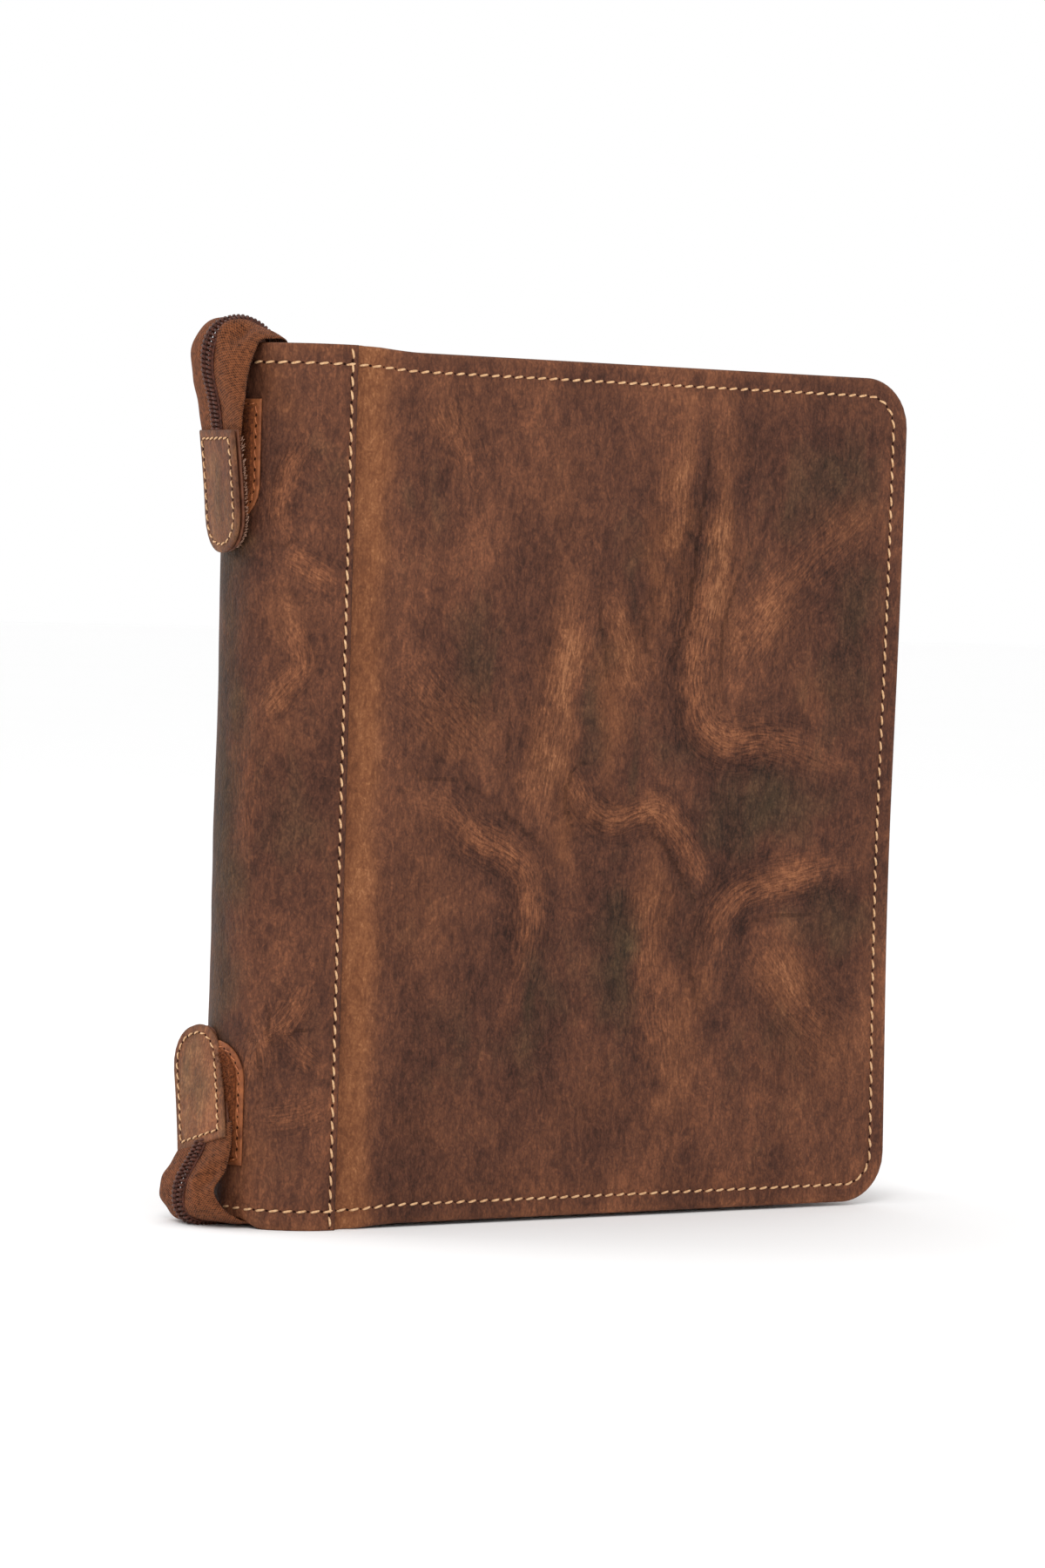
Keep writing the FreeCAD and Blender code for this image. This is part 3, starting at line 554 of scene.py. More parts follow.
def fold_marks(a, b, folds):
    """Height, strength, the painted shade in the dip beside each fold (darker on one side) and the distances
    along and across the nearest fold, for points of a sheet.
    """
    height = np.zeros(a.shape)
    strength = np.zeros(a.shape)
    shaded_valley = np.zeros(a.shape)
    along = b * 0.18
    across = a * 0.9
    for points, width, rise in folds:
        line = spline(points, 14 * len(points))
        run = path_run(line)
        nearest = np.full(a.shape, 1e9)
        at = np.zeros(a.shape)
        signed = np.zeros(a.shape)
        for i in range(len(line) - 1):
            step = line[i + 1] - line[i]
            length = np.hypot(*step)
            da = a - line[i, 0]
            db = b - line[i, 1]
            t = np.clip((da * step[0] + db * step[1]) / length ** 2, 0, 1)
            distance = np.hypot(da - t * step[0], db - t * step[1])
            closer = distance < nearest
            nearest = np.where(closer, distance, nearest)
            at = np.where(closer, run[i] + t * length, at)
            side = np.sign(step[0] * db - step[1] * da)
            signed = np.where(closer, side * distance, signed)
        ends = smooth(at, -0.01, run[-1] * 0.3) * smooth(run[-1] - at, -0.01, run[-1] * 0.3)
        ends = 0.25 + 0.75 * ends
        shape = np.exp(-(nearest / width) ** 2) * ends
        fade = np.exp(-(nearest / (1.8 * width)) ** 2) * ends
        ripple = 0.16 * np.cos(signed * 2.4 + waves(a, b, 9, 3)) * fade
        height += rise * (shape + ripple)
        # A dip beside each fold, stronger on one side: it lowers the surface and also darkens the colour as
        # painted shade.
        shaded_trough = np.exp(-((nearest - 2.1 * width) / (0.9 * width)) ** 2) * ends * (0.4 + 0.6 * (signed < 0))
        shaded_valley = np.maximum(shaded_valley, shaded_trough * rise)
        reach = np.exp(-(nearest / (2.2 * width)) ** 2) * ends
        stronger = reach > strength
        along = np.where(stronger, at * 0.22, along)
        across = np.where(stronger, signed * 1.5, across)
        strength = np.maximum(strength, reach * (0.55 + rise * 0.6))
    return height, strength, shaded_valley, along, across


def patches(a, b, spots):
    """The sum of soft patches with wandering outlines."""
    total = np.zeros(a.shape)
    for ca, cb, ra, rb, amount in spots:
        wander = 2.5 * waves(a, b, 18, int(ca + cb))
        total += amount * np.exp(-((a - ca + wander) / ra) ** 2 - ((b - cb + wander) / rb) ** 2)
    return total


def leather_marks(a, b, folds, dark, tan, seed):
    """The height of a leather's surface, and what its material reads at each point."""
    height, strength, shaded_valley, along, across = fold_marks(a, b, folds)
    height -= 0.25 * shaded_valley
    height += 0.16 * waves(a, b, 34, seed, 10, 1.5) + 0.06 * waves(a, b, 11, seed + 1, 12, 1.6)
    shade = patches(a, b, dark)
    warm = patches(a, b, tan)
    crest = np.clip(height, -0.2, 0.8)
    # Painted shade: the tone drops in the dip beside each fold.
    tone = 0.3 + 0.24 * crest + 0.12 * strength - 0.22 * shade + 0.08 * warm - 0.28 * shaded_valley
    tone += 0.05 * waves(a, b, 22, seed + 2, 14, 3.0)
    tone = np.where(tone < 0.24, 0.24 + 0.35 * (tone - 0.24), tone)
    olive = shade * 0.75 - 0.15 - 0.3 * strength + 0.05 * waves(a, b, 40, seed + 3, 10, 1.5)
    return height, {"tone": tone, "olive": olive, "tan": 0.62 * warm, "fold": strength,
                    "fold_along": along, "fold_across": across}


# ---- covers ----

def rounded_edge(da, db, radius):
    """Distance in from two straight edges that meet in a rounded corner, from the distance to each."""
    corner = radius - np.hypot(np.maximum(radius - da, 0), np.maximum(radius - db, 0))
    return np.where((da < radius) & (db < radius), corner, np.minimum(da, db))


def cover_outline_rows():
    """Heights of the grid's rows: even steps round each corner, then even steps between."""
    turn = np.radians([0, 4, 8, 12, 17, 23, 30, 38, 46, 55, 65, 78, 90])
    corner = CORNER * (1 - np.cos(turn))
    reach = REACH - CORNER + CORNER * np.sin(turn)
    middle = np.arange(CORNER + 1.2, HEIGHT - CORNER - 0.6, 1.2)
    rows = np.concatenate([corner, middle, HEIGHT - corner[::-1]])
    far = np.concatenate([reach, np.full(len(middle), REACH), reach[::-1]])
    return rows, far


def cover_grid():
    rows, far = cover_outline_rows()
    near = np.array([0, 0.08, 0.2, 0.6, 1.2, 1.8])
    rim = np.array([3.2, 2.2, 1.5, 0.95, 0.55, 0.25, 0.08, 0])
    share = np.linspace(0, 1, 150)[1:-1]
    x = []
    for reach in far:
        start = LAP_X + near[-1]
        stop = reach - rim[0]
        x.append(np.concatenate([LAP_X + near, start + (stop - start) * share, reach - rim]))
    x = np.array(x)
    return x, np.repeat(rows[:, None], x.shape[1], axis=1)


def cover_edge(x, z):
    """Distance in from the cover's outline."""
    edge = rounded_edge(REACH - x, np.minimum(z, HEIGHT - z), CORNER)
    return np.maximum(np.minimum(edge, x - LAP_X), 0)


def cover_place(x, z, side):
    """Flat sheet coordinates to the cover's outer face: a groove beside the spine, a slight waist."""
    groove = 1.3 * (1 - smooth(x, 27.5, 33.0)) + 0.25 * np.exp(-((x - 27.4) / 1.3) ** 2)
    crown = 0.25 * (1 - smooth(cover_edge(x, z), 0, 9))
    y = side * (HALF - groove - crown)
    lift = COVER_DROP * smooth(x, 26, 46)
    waist = 1.6 * smooth(x, 150, REACH) * np.exp(-((z - 95) / 70) ** 2)
    level = lift + z * (HEIGHT - 2 * lift) / HEIGHT
    return np.stack([x - waist, y, level], -1)


def cover_leather(label, side, folds, dark, tan, seed):
    x, z = cover_grid()
    edge = cover_edge(x, z)
    height, marks = leather_marks(x, z, folds, dark, tan, seed)
    border = smooth(edge, 6.5, 15) * smooth(x, 32, 44)
    height = height * border - 0.22 * np.exp(-((edge - STITCH_INSET) / 1.1) ** 2) * smooth(x, 28, 31)
    marks["fold"] *= 0.3 + 0.7 * border
    strip = 1 - smooth(x + 1.5 * waves(x, z, 30, 5), 30, 40)
    rubbed = np.exp(-(edge / 2.2) ** 2) + 0.5 * np.exp(-((edge - 8) / 2.5) ** 2)
    marks["tan"] += 0.95 * strip + 0.18 * rubbed
    # A narrow dark band just past the lapped edge of the spine leather: painted shadow from that raised edge.
    marks["tone"] += 0.04 * strip + 0.07 * rubbed - 0.12 * np.exp(-((x - 26.2) / 1.2) ** 2)
    marks["olive"] -= strip
    turned = (1 - smooth(edge, 5, 7)) * smooth(x, HINGE_X, HINGE_X + 2)
    thick = np.where(x < HINGE_X, LAP_SKIN, COVER_SKIN) + EDGE_SKIN * turned
    sheet = thick_sheet(f"{label}_cover_leather", cover_place(x, z, side), thick, edge, LEATHER,
                        "cover_leather", height, marks, flip=side > 0)
    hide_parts(f"{label}_leather")
    hinge_blend(sheet, label, side)


def hinge_blend(item, label, side):
    """Bakes the piece's placement into its mesh."""
    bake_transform(item)


def outline_path(inset, start_x, samples=400):
    """A line at an even inset from the cover's edge, from the lower hinge end round to the upper one."""
    radius = CORNER - inset
    arc = np.linspace(-math.pi / 2, 0, 24)
    low = np.stack([REACH - CORNER + radius * np.cos(arc), CORNER + radius * np.sin(arc)], -1)
    high = np.stack([low[::-1, 0], HEIGHT - low[::-1, 1]], -1)
    corners = np.vstack([[[start_x, inset]], low, high, [[start_x, HEIGHT - inset]]])
    return evenly(corners, samples)


def cover_stitches(label, side):
    line = outline_path(STITCH_INSET, 25.8)
    path = cover_place(line[:, 0], line[:, 1], side)
    path[:, 1] -= side * 0.2 * smooth(line[:, 0], 28, 31)
    normals = np.tile((0.0, side, 0.0), (len(path), 1))
    thread = stitches(f"{label}_cover_stitches", path, normals, THREAD)
    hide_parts(f"{label}_cover_thread")
    hole_shades = thread.children[0]
    hole_shades.parent = None
    for item in (thread, hole_shades):
        hinge_blend(item, label, side)


# ---- spine ----

def spine_place(run, z, lift=0.0):
    """Distance round the spine (0 at its middle, positive to the front) and height, to the outer face."""
    turn = np.clip(run / HALF, -math.pi / 2, math.pi / 2)
    past = np.abs(run) - HALF * math.pi / 2
    x = HALF - (HALF + lift) * np.cos(turn) + np.maximum(past, 0)
    y = -(HALF + lift) * np.sin(turn)
    return np.stack([x, y, z * np.ones_like(x)], -1)


def spine_leather():
    rim = np.array([0, 0.06, 0.18, 0.35, 0.6])
    run = np.concatenate([-SEAM_RUN + rim, np.linspace(-SEAM_RUN + 1.1, SEAM_RUN - 1.1, 78),
                          SEAM_RUN - rim[::-1]])
    rows = np.concatenate([rim, np.linspace(1.1, HEIGHT - 1.1, 230), HEIGHT - rim[::-1]])
    a, z = np.meshgrid(run, rows)
    from_seam = SEAM_RUN - np.abs(a)
    ends = np.minimum(z, HEIGHT - z)
    edge = np.minimum(from_seam, ends)
    height, marks = leather_marks(SEAM_RUN - a, z, SPINE_FOLDS, SPINE_DARK, SPINE_TAN, 31)
    border = smooth(edge, 3.5, 9)
    height = height * border - 0.2 * np.exp(-((ends - STITCH_INSET) / 1.0) ** 2)
    height -= 0.15 * np.exp(-((from_seam - SEAM_INSET) / 0.9) ** 2)
    rubbed = np.exp(-(ends / 2.5) ** 2)
    marks["tan"] += 0.25 * rubbed
    marks["tone"] += 0.06 * rubbed - 0.22 * np.exp(-(from_seam / 0.5) ** 2)
    points = spine_place(a, z)
    arch = 1 - smooth(np.abs(points[..., 1]), NOTCH_SIDE - 5, NOTCH_SIDE + 2)
    points[..., 2] += NOTCH_RISE * arch * (points[..., 0] < 20) * (1 - smooth(z, 0, 20))
    sheet = thick_sheet("spine_leather_skin", points, SPINE_SKIN, edge, LEATHER, "spine_leather", height,
                        marks)
    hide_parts("spine_leather")
    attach(sheet, "spine")


def spine_stitches():
    for label, side in (("front", 1), ("back", -1)):
        run = np.full(300, side * (SEAM_RUN - SEAM_INSET))
        z = np.linspace(0.6, HEIGHT - 0.6, 300)
        path = spine_place(run, z, -0.12)
        normals = np.tile((0.0, -side, 0.0), (len(path), 1))
        thread = stitches(f"{label}_seam_stitches", path, normals, THREAD)
        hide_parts(f"{label}_seam_thread")
        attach(thread, "spine")
    for label, z in (("lower", STITCH_INSET), ("upper", HEIGHT - STITCH_INSET)):
        run = np.linspace(-SEAM_RUN + 0.4, SEAM_RUN - 0.4, 200)
        path = spine_place(run, np.full(200, z), -0.16)
        normals = unit(path - (HALF, 0.0, z))
        thread = stitches(f"{label}_spine_stitches", path, normals, THREAD)
        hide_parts(f"{label}_spine_thread")
        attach(thread, "spine")


# ---- zip ----

def zip_line(inset, samples):
    """A line round the zip's three sides, and the way out from it at each point."""
    line = outline_path(inset, HINGE_X + 3, samples)
    tangent = unit(np.gradient(line, axis=0))
    return line, np.stack([tangent[:, 1], -tangent[:, 0]], -1)


def zip_tape(label, side):
    """Ribbed tape from the sewn edge of the cover to the coil, slightly bowed inwards."""
    line, outward = zip_line(ZIP_INSET, 420)
    across = np.linspace(0, 1, 15)
    y = CHAIN_EDGE - 0.6 + (HALF - 2.0 - CHAIN_EDGE) * across
    bow = -1.1 * np.sin(math.pi * across) + 0.12 * waves(across * 12, across * 3, 5, 2)
    run = np.arange(len(line)) * TAPE_STEP
    ruck = 0.25 * waves(run, 0 * run, 24, 8)
    inset = bow[None, :] * (1 + 0.35 * ruck[:, None])
    flat = line[:, None] + outward[:, None] * inset[..., None]
    points = np.stack([flat[..., 0], np.tile(side * y, (len(line), 1)), flat[..., 1]], -1)
    wide, along = np.meshgrid(y, run)
    edge = np.minimum(np.minimum(wide - wide[:, :1], wide[:, -1:] - wide),
                      np.minimum(along, along[-1:] - along))
    sheet = thick_sheet(f"{label}_zip_tape_cloth", points, TAPE_SKIN, edge, TAPE, "zip_tape",
                        attributes={"tape_across": wide, "tape_along": along}, flip=side < 0)
    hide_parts(f"{label}_zip_tape")
    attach(sheet, f"{label}_cover")


def coil(name, path, outward, across, start, stop, pitch=1.35, size=0.5):
    """One half of a zip's coil: rounded loops side by side, with a sewing line along their heels."""
    run = path_run(path)
    loops = []
    ups = []
    reach = np.array([start, start + 0.25, (start + stop) / 2, stop - 0.25, stop])[:, None]
    rise = np.array([0.15, 0.75, 0.95, 0.7, 0.2])[:, None]
    lean = np.linspace(-0.16, 0.16, 5)[:, None]
    for i in range(int(run[-1] / pitch)):
        place = (i + 0.5) * pitch
        up = unit(along_path(place, run, outward))
        side = unit(along_path(place, run, across))
        loops.append(along_path(place, run, path) + reach * side + rise * up + lean * np.cross(side, up))
        ups.append(up)
    verts, faces = tube_parts(loops, np.array([0.75, 1.0, 0.92, 1.0, 0.75]) * size, 6, 1.0, ups)
    for offset, lift, radius in ((stop + 0.1, 0.15, 0.42), ((start + stop) / 2, -0.1, 0.7)):
        line = path + unit(across) * offset + unit(outward) * lift
        more, extra = tube_parts([line], radius, 6, 1.0, [outward[len(outward) // 2]])
        faces += [tuple(len(verts) + k for k in face) for face in extra]
        verts = np.vstack([verts, more])
    return make_mesh(name, verts, faces, CHAIN, slot="zip_chain")


def zip_chain(label, side):
    line, outward = [np.insert(flat, 1, 0, axis=1) for flat in zip_line(ZIP_INSET - 0.4, 500)]
    across = np.tile((0.0, float(side), 0.0), (len(line), 1))
    item = coil(f"{label}_zip_coil", line, outward, across, CHAIN_GAP, CHAIN_EDGE - 0.3)
    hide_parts(f"{label}_zip_chain")
    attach(item, f"{label}_cover")


# ---- tails, tabs and pads ----
# Each tail is three curves along it: its back edge, its coil and its front edge.

UPPER_TAIL = (
    ((-3.8, 11.5, 217), (-5.2, 13, 229), (-7.0, 13, 239), (-6.2, 13, 246), (-1.5, 13, 250), (6, 13, 251),
     (13, 13, 247), (15, 12, 240)),
    ((-4.0, 0, 217), (-5.8, 0, 228), (-8.3, 0, 238), (-7.6, 0, 245.5), (-3.5, 0, 250), (3.5, 0, 251),
     (10, 0, 246.5), (11, 0, 238)),
    ((-4.0, -11, 217), (-3.8, -12.5, 228), (-2.8, -13, 237), (-0.8, -12.8, 242.5), (1.2, -12.5, 245.6),
     (4.6, -12.4, 246.2), (9.5, -12.4, 245.8), (11, -12.6, 240)),
)
LOWER_TAIL = (
    ((-5.0, 11.0, 22), (-7.0, 12.5, 17), (-10.0, 13, 11.5), (-10.0, 13, 6.5), (-6.4, 13, 2.6), (0, 13, 1.4),
     (10, 13, 1.4)),
    ((-2.9, 0, 26), (-5.4, 0, 20), (-10.0, 0, 12), (-10.4, 0, 5.8), (-7.2, 0, 1.9), (0, 0, 1.4),
     (10, 0, 1.4)),
    ((-1.2, -11.0, 30), (-1.5, -12, 23), (-3.2, -12, 16.5), (-6.8, -12.5, 11.5), (-5.0, -13, 7),
     (0.5, -13, 2.8), (6, -13, 1.3), (12, -13, 1.3)),
)


def tail_surface(curves, samples, widths):
    """A surface through a tail's three curves, at widths from -1 in front to 1 at the back."""
    back, middle, front = [spline(curve, samples) for curve in curves]
    w = widths[None, :, None]
    return (back[:, None] * w * (w + 1) / 2 + middle[:, None] * (1 - w * w)
            + front[:, None] * w * (w - 1) / 2)


def tail(label, curves, pinch_at, facing, bend):
    """Two tapes, each with its coil; pinch_at is a fold's place along, place across, depth and length."""
    centre, where, depth, length = pinch_at
    for side, low, high in (("front", -1.0, -0.05), ("back", 0.05, 1.0)):
        widths = np.linspace(low, high, TAIL_COLUMNS)
        points = tail_surface(curves, TAIL_SAMPLES, widths)
        normals = grid_normals(points)
        w, s = np.meshgrid(widths, np.linspace(0, 1, TAIL_SAMPLES))
        puff = 0.9 * np.sin(np.pi * (w - low) / (high - low)) * np.sin(np.pi * s) ** 0.5
        ruck = 0.22 * waves(s * 50, w * 12, 9, 5 + len(label)) * np.sin(np.pi * s)
        near = ((s - centre) / length) ** 2
        pinch = depth * np.exp(-near - ((w - where) / 0.16) ** 2)
        crest = 0.6 * depth * np.exp(-near - ((w - where - 0.32) / 0.16) ** 2)
        points = points + normals * ((puff + ruck - pinch + crest) * facing)[..., None]
        run = s * TAIL_RUN
        wide = w * TAIL_HALF
        sides = np.minimum(wide - low * TAIL_HALF, high * TAIL_HALF - wide)
        edge = np.minimum(sides, np.minimum(run, TAIL_RUN - run))
        sheet = thick_sheet(f"{label}_tail_cloth_{side}", points, TAPE_SKIN, edge, TAPE, "zip_tape",
                            attributes={"tape_across": wide, "tape_along": run}, flip=facing < 0)
        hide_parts(f"{label}_tail_tape_{side}")
        tail_blend(sheet, bend)
    middle = tail_surface(curves, 200, np.array([-0.04, 0.0, 0.04]))[12:]
    outward = grid_normals(middle)[:, 1] * facing
    across = unit(middle[:, 2] - middle[:, 0])
    for part, side in (("front", -1), ("back", 1)):
        item = coil(f"{label}_tail_coil_{part}", middle[:, 1] + outward * COIL_LIFT, outward, across * side,
                    CHAIN_GAP, 2.3, 1.25, 0.48)
        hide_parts(f"{label}_tail_chain")
        tail_blend(item, bend)


def tail_blend(item, bend):
    """Bakes the piece's placement into its mesh; the two heights of the bend give two points that are not
    used further.
    """
    start, end = [tuple(world((-4.5, 0, z))) for z in bend]
    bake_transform(item)
    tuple(start)
    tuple(end)


def tongue_grid(length, half, radius):
    """A tab outline: square at 0, round at its far end; across is the first coordinate."""
    turn = np.radians([0, 6, 12, 20, 30, 42, 56, 72, 90])
    end = length - radius * (1 - np.cos(turn))[::-1]
    width = (half - radius + radius * np.sin(turn))[::-1]
    start = np.array([0, 0.08, 0.25, 0.6, 1.1])
    middle = np.linspace(1.8, length - radius - 0.8, 26)
    rows = np.concatenate([start, middle, end])
    halves = np.concatenate([np.full(len(start) + len(middle), half), width])
    share = np.concatenate([[-1, -0.99, -0.97, -0.94, -0.9], np.linspace(-0.84, 0.84, 20),
                            [0.9, 0.94, 0.97, 0.99, 1]])
    return halves[:, None] * share, np.repeat(rows[:, None], len(share), axis=1)


def tongue_edge(a, b, length, half, radius):
    """Distance in from a tongue's outline."""
    edge = rounded_edge(half - np.abs(a), length - b, radius)
    return np.maximum(np.minimum(edge, b), 0)


def tongue_layer(shape, inset):
    """A grid drawn in from a tongue's outline by an inset, and each point's distance in from its own edge."""
    length, half, radius = shape
    inner = (length - 2 * inset, half - inset, radius - inset)
    a, b = tongue_grid(*inner)
    return a, b, tongue_edge(a, b, *inner)


def tongue_line(inset, length, half, radius):
    """A closed line at an even inset inside a tab's outline."""
    r = radius - inset
    arc = np.linspace(0, math.pi / 2, 16)
    right = np.stack([half - radius + r * np.cos(arc), length - radius + r * np.sin(arc)], -1)
    left = np.stack([-right[::-1, 0], right[::-1, 1]], -1)
    start = (half - inset, inset)
    corners = np.vstack([[start], right, left, [(-half + inset, inset), start]])
    return evenly(corners, 200)


def tab(label, face, square_z, way, tilt, lean, twist):
    """A tab hung from its square end: face is its outer side's X there, way is +1 up or -1 down."""
    turns = [Matrix.Rotation(math.radians(angle), 3, axis)
             for angle, axis in ((tilt, "X"), (lean, "Y"), (twist, "Z"))]
    spin = np.array(turns[0] @ turns[1] @ turns[2])

    def place(a, b, depth=0.0):
        bow = 0.5 * (a / TAB[1]) ** 2 + 0.35 * np.sin(b / TAB[0] * math.pi)
        local = np.stack([depth + bow, a, way * b], -1)
        return local @ spin.T + np.array((face, 0.0, square_z))

    layers = (("leather", 1.2, 0.0, 0.0, TAB_LEATHER, "tab_leather", f"{label}_tab_leather"),
              ("tape_end", 0.5, 1.2, 2.0, TAPE, "zip_tape", f"{label}_tab_tape"),
              ("backing", 0.8, 1.7, 0.2, EDGE_LEATHER, "tab_leather", f"{label}_tab_backing"),
              ("hooks", 0.8, 2.55, 0.9, HOOK, "hook_tape", f"{label}_tab_hook"))
    for part, thick, depth, inset, material, slot, node in layers:
        a, b, edge = tongue_layer(TAB, inset)
        dark = ((60 * way, 108, 6, 12, 0.5),)
        height, marks = leather_marks(a * 1.3 + 60 * way, b + 90, (), dark, (), 50 + way)
        marks["tape_across"] = a
        marks["tape_along"] = b
        marks["tone"] += 0.12 - 0.1 * np.exp(-(edge / 1.6) ** 2)
        marks["olive"] += 0.35
        groove = 0.14 * np.exp(-((edge - TAB_STITCH) / 0.7) ** 2) if part == "leather" else 0.0
        sheet = thick_sheet(f"{label}_tab_{part}_layer", place(a, b + inset, depth), thick, edge, material,
                            slot, 0.5 * height - groove, marks, flip=way > 0)
        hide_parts(node)
        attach(sheet, f"{label}_tab")
    line = tongue_line(TAB_STITCH, *TAB)
    path = place(line[:, 0], line[:, 1], 0.08)
    normals = np.tile(spin @ np.array((-1.0, 0.0, 0.0)), (len(path), 1))
    thread = stitches(f"{label}_tab_stitches", path, normals, THREAD, 2.9, 0.27)
    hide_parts(f"{label}_tab_thread")
    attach(thread, f"{label}_tab")
    hook_tips(label, place, way)


def hook_tips(label, place, way):
    """Pale curled tips that stand out along the front edge of a tab's hook strip."""
    chance = np.random.default_rng(90 + way)
    line = tongue_line(0.9, *TAB)
    line = line[(line[:, 0] < -4) & (line[:, 1] > 2)]
    curls = []
    for _ in range(130):
        a, b = line[chance.integers(len(line))]
        reach = chance.uniform(0.4, 1.1)
        turn = chance.uniform(-0.5, 0.5)
        depth = 2.6 + chance.uniform(0.0, 0.7)
        curls.append([place(np.array(a - reach * math.sin(2.2 * t)),
                            np.array(b + turn * t + 0.2 * math.cos(3 * t)),
                            depth + 0.4 * t * t) for t in np.linspace(0, 1, 5)])
    verts, faces = tube_parts(curls, 0.075, 4)
    item = make_mesh(f"{label}_tab_hook_tips", verts, faces, HOOK_TIP, slot="hook_tape")
    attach(item, f"{label}_tab")


def fastening_pad(label, square_z, way):
    """A leather patch wrapped on the spine, with loop pile inside its sewn border."""
    def place(a, b, lift):
        return spine_place(a, square_z + way * b, lift)

    for part, inset, lift, thick, material, slot in (
            ("leather", 0.0, 0.85, 0.8, PAD_LEATHER, "pad_leather"),
            ("loop", 2.3, 1.5, 0.7, PILE, "loop_tape")):
        a, b, edge = tongue_layer(PAD, inset)
        height = 0.12 * waves(a, b, 3.0, 60) if part == "loop" else 0.05 * waves(a, b, 8, 61)
        sheet = thick_sheet(f"{label}_pad_{part}_layer", place(a, b + inset, lift), thick, edge, material,
                            slot, height, flip=way < 0)
        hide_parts(f"{label}_pad_{part}")
        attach(sheet, "spine")
    line = tongue_line(PAD_STITCH, *PAD)
    path = place(line[:, 0], line[:, 1], 0.8)
    normals = unit((path - (HALF, 0, 0)) * (1, 1, 0))
    thread = stitches(f"{label}_pad_stitches", path, normals, PAD_THREAD, 3.0, 0.2)
    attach(thread, "spine")
    pile(label, place, way)


def pile(label, place, way):
    """Short looped fibres that stand up from the pad and catch at its rim."""
    chance = np.random.default_rng(70 + way)
    fibres = []
    for _ in range(1500):
        a = chance.uniform(-1, 1) * (PAD[1] - PAD_BORDER)
        b = chance.uniform(2.8, PAD[0] - 3.2)
        if tongue_edge(np.array(a), np.array(b), *PAD) < PAD_BORDER:
            continue
        bend = chance.normal(0, 0.55, 2)
        rise = chance.uniform(0.35, 0.9)
        fibres.append([place(np.array(a + bend[0] * t), np.array(b + bend[1] * t),
                             1.45 + rise * math.sin(t * 2.4)) for t in np.linspace(0, 1, 4)])
    verts, faces = tube_parts(fibres, 0.06, 3)
    item = make_mesh(f"{label}_pad_fibres", verts, faces, PILE, slot="loop_tape")
    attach(item, "spine")


# ---- CAD pieces that stay ----

def finish_cad_nodes():
    """Materials for the pieces that keep their CAD shape."""
    pairs = (("front", "back"), {"board": BOARD, "lining": LINING, "sleeve": LINING, "bible_board": BIBLE})
    ends = (("upper", "lower"), {"anchor": EDGE_LEATHER})
    sliders = (("left", "right"), {"slider": METAL, "pull": EDGE_LEATHER})
    materials = {f"{label}_{part}": material for labels, parts in (pairs, ends, sliders)
                 for label in labels for part, material in parts.items()}
    materials |= {"spine_lining": LINING, "bible_spine": BIBLE, "bible_mull": MULL}
    materials |= {f"page_section_{number}": PAPER for number in range(1, SECTIONS + 1)}
    for node, material in materials.items():
        mesh = frame["nodes"][node].data
        mesh.materials.clear()
        mesh.materials.append(material)


# ---- stage ----

def stage():
    """A white floor under an even white sky, with three soft lamps."""
    bpy.ops.mesh.primitive_plane_add(size=30)
    floor = bpy.context.object
    floor.name = "floor"
    n = Nodes("floor_paint", 0.9, 0.1)
    white = n.ramp(n.noise(3, 2), ((0.3, (0.985, 0.985, 0.985, 1)), (0.7, (0.99, 0.99, 0.99, 1))))
    floor.data.materials.append(n.finish(white))
    sky = bpy.data.worlds.new("studio")
    sky.use_nodes = True
    sky.node_tree.nodes["Background"].inputs["Color"].default_value = (1, 1, 1, 1)
    bpy.context.scene.world = sky
    bpy.context.scene.view_settings.view_transform = "Standard"
    lamp("key", (-0.9, -1.2, 1.3), 0.7, 9)
    lamp("fill", (1.3, -1.0, 0.9), 1.0, 2)
    lamp("rim", (-0.9, 0.9, 0.9), 0.8, 4)


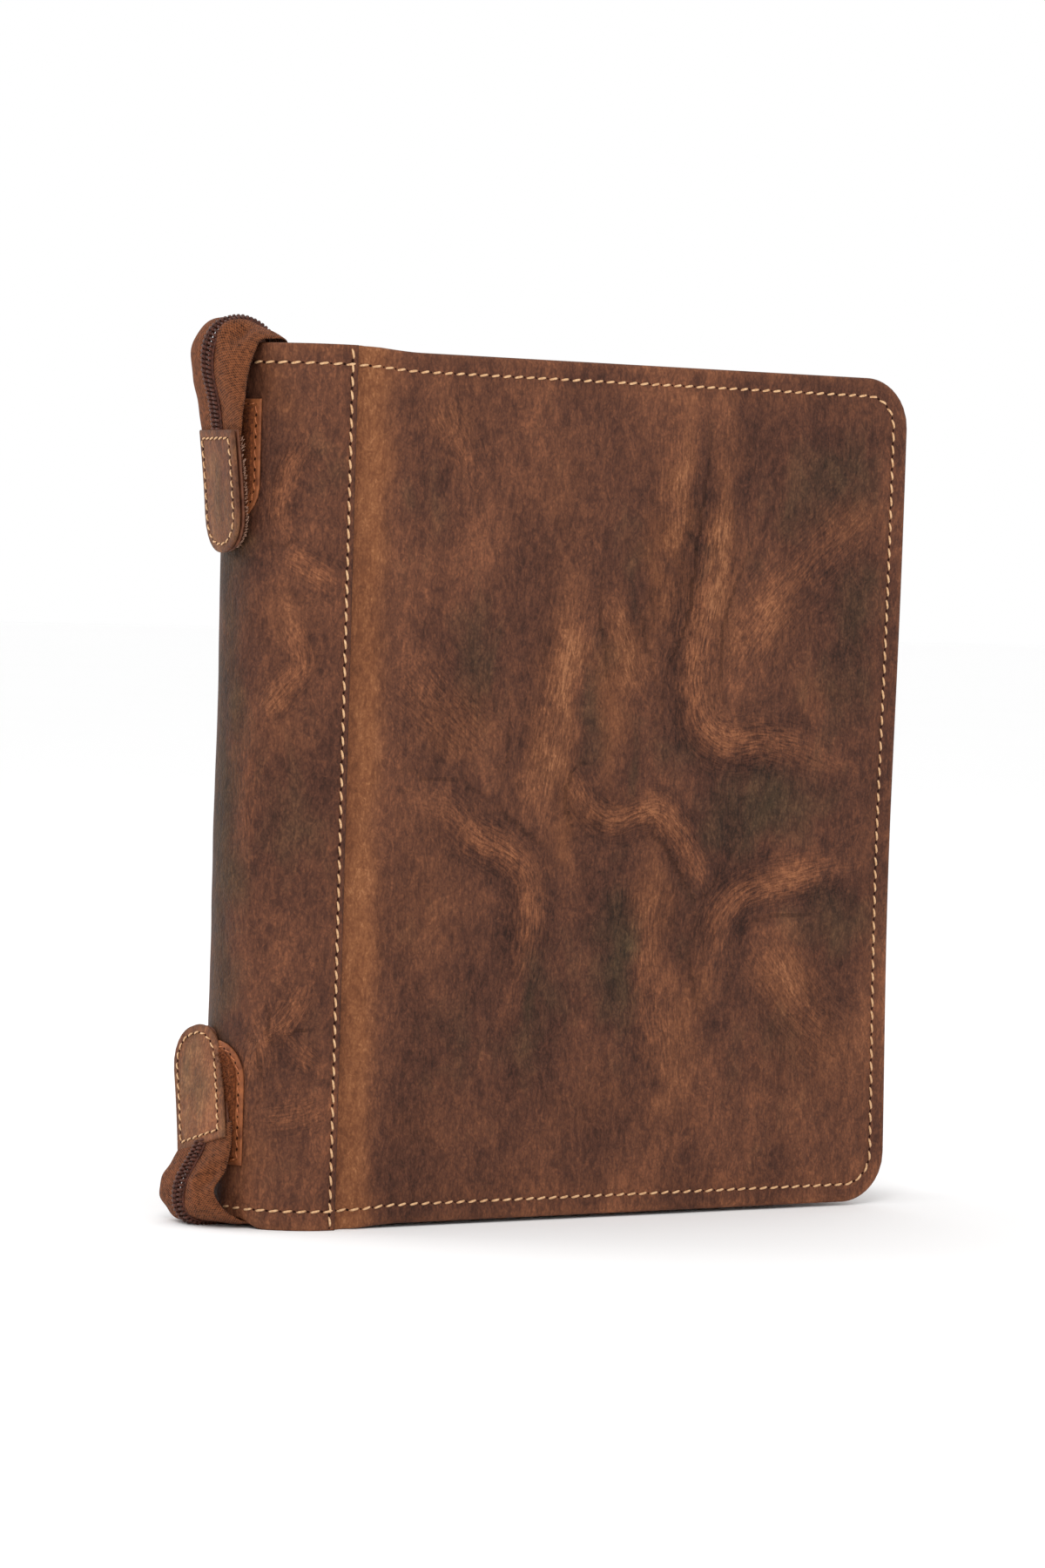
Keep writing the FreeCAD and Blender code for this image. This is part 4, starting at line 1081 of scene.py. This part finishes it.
def lamp(name, place, size, power):
    """A square lamp that faces the middle of the case."""
    data = bpy.data.lights.new(name, "AREA")
    data.size = size
    data.energy = power
    item = bpy.data.objects.new(name, data)
    item.location = place
    aim = Vector((0, 0, HEIGHT * MM / 2)) - Vector(place)
    item.rotation_euler = aim.to_track_quat("-Z", "Y").to_euler()
    bpy.context.collection.objects.link(item)


def camera():
    """The view: 31 degrees round to the spine's side, a little above the middle, slightly rolled."""
    azimuth, elevation, roll = np.radians((-31.0, 2.29, 1.65))
    distance = 1.4179
    slide = (0.00558, 0.00055)
    back = np.array((math.sin(azimuth) * math.cos(elevation), -math.cos(azimuth) * math.cos(elevation),
                     math.sin(elevation)))
    right = unit(np.cross(-back, (0, 0, 1)))
    up = np.cross(right, -back)
    right, up = (math.cos(roll) * right + math.sin(roll) * up, math.cos(roll) * up - math.sin(roll) * right)
    target = world((90, 0, HEIGHT / 2))
    place = target + back * distance + right * slide[0] + up * slide[1]
    data = bpy.data.cameras.new("camera")
    data.lens = 113.3
    data.clip_end = 50
    item = bpy.data.objects.new("camera", data)
    matrix = Matrix(np.column_stack([right, up, back]).tolist()).to_4x4()
    matrix.translation = Vector(place)
    item.matrix_world = matrix
    bpy.context.collection.objects.link(item)
    bpy.context.scene.camera = item


# ---- the whole case ----

for label, side, folds, dark, tan, seed in (("front", -1, FRONT_FOLDS, FRONT_DARK, FRONT_TAN, 11),
                                            ("back", 1, BACK_FOLDS, BACK_DARK, BACK_TAN, 21)):
    cover_leather(label, side, folds, dark, tan, seed)
    cover_stitches(label, side)
    zip_tape(label, side)
    zip_chain(label, side)
spine_leather()
spine_stitches()
tail("upper", UPPER_TAIL, (0.60, -0.5, 2.4, 0.08), -1, (233, 220))
tail("lower", LOWER_TAIL, (0.36, -0.75, 1.6, 0.08), 1, (11, 23))
tab("upper", -6.5, 220.7, -1, 0.0, -5.4, -4.0)
tab("lower", -5.3, 22.2, 1, -18.0, 4.0, 8.0)
fastening_pad("upper", 229.5, -1)
fastening_pad("lower", 17.3, 1)
finish_cad_nodes()
stage()
camera()
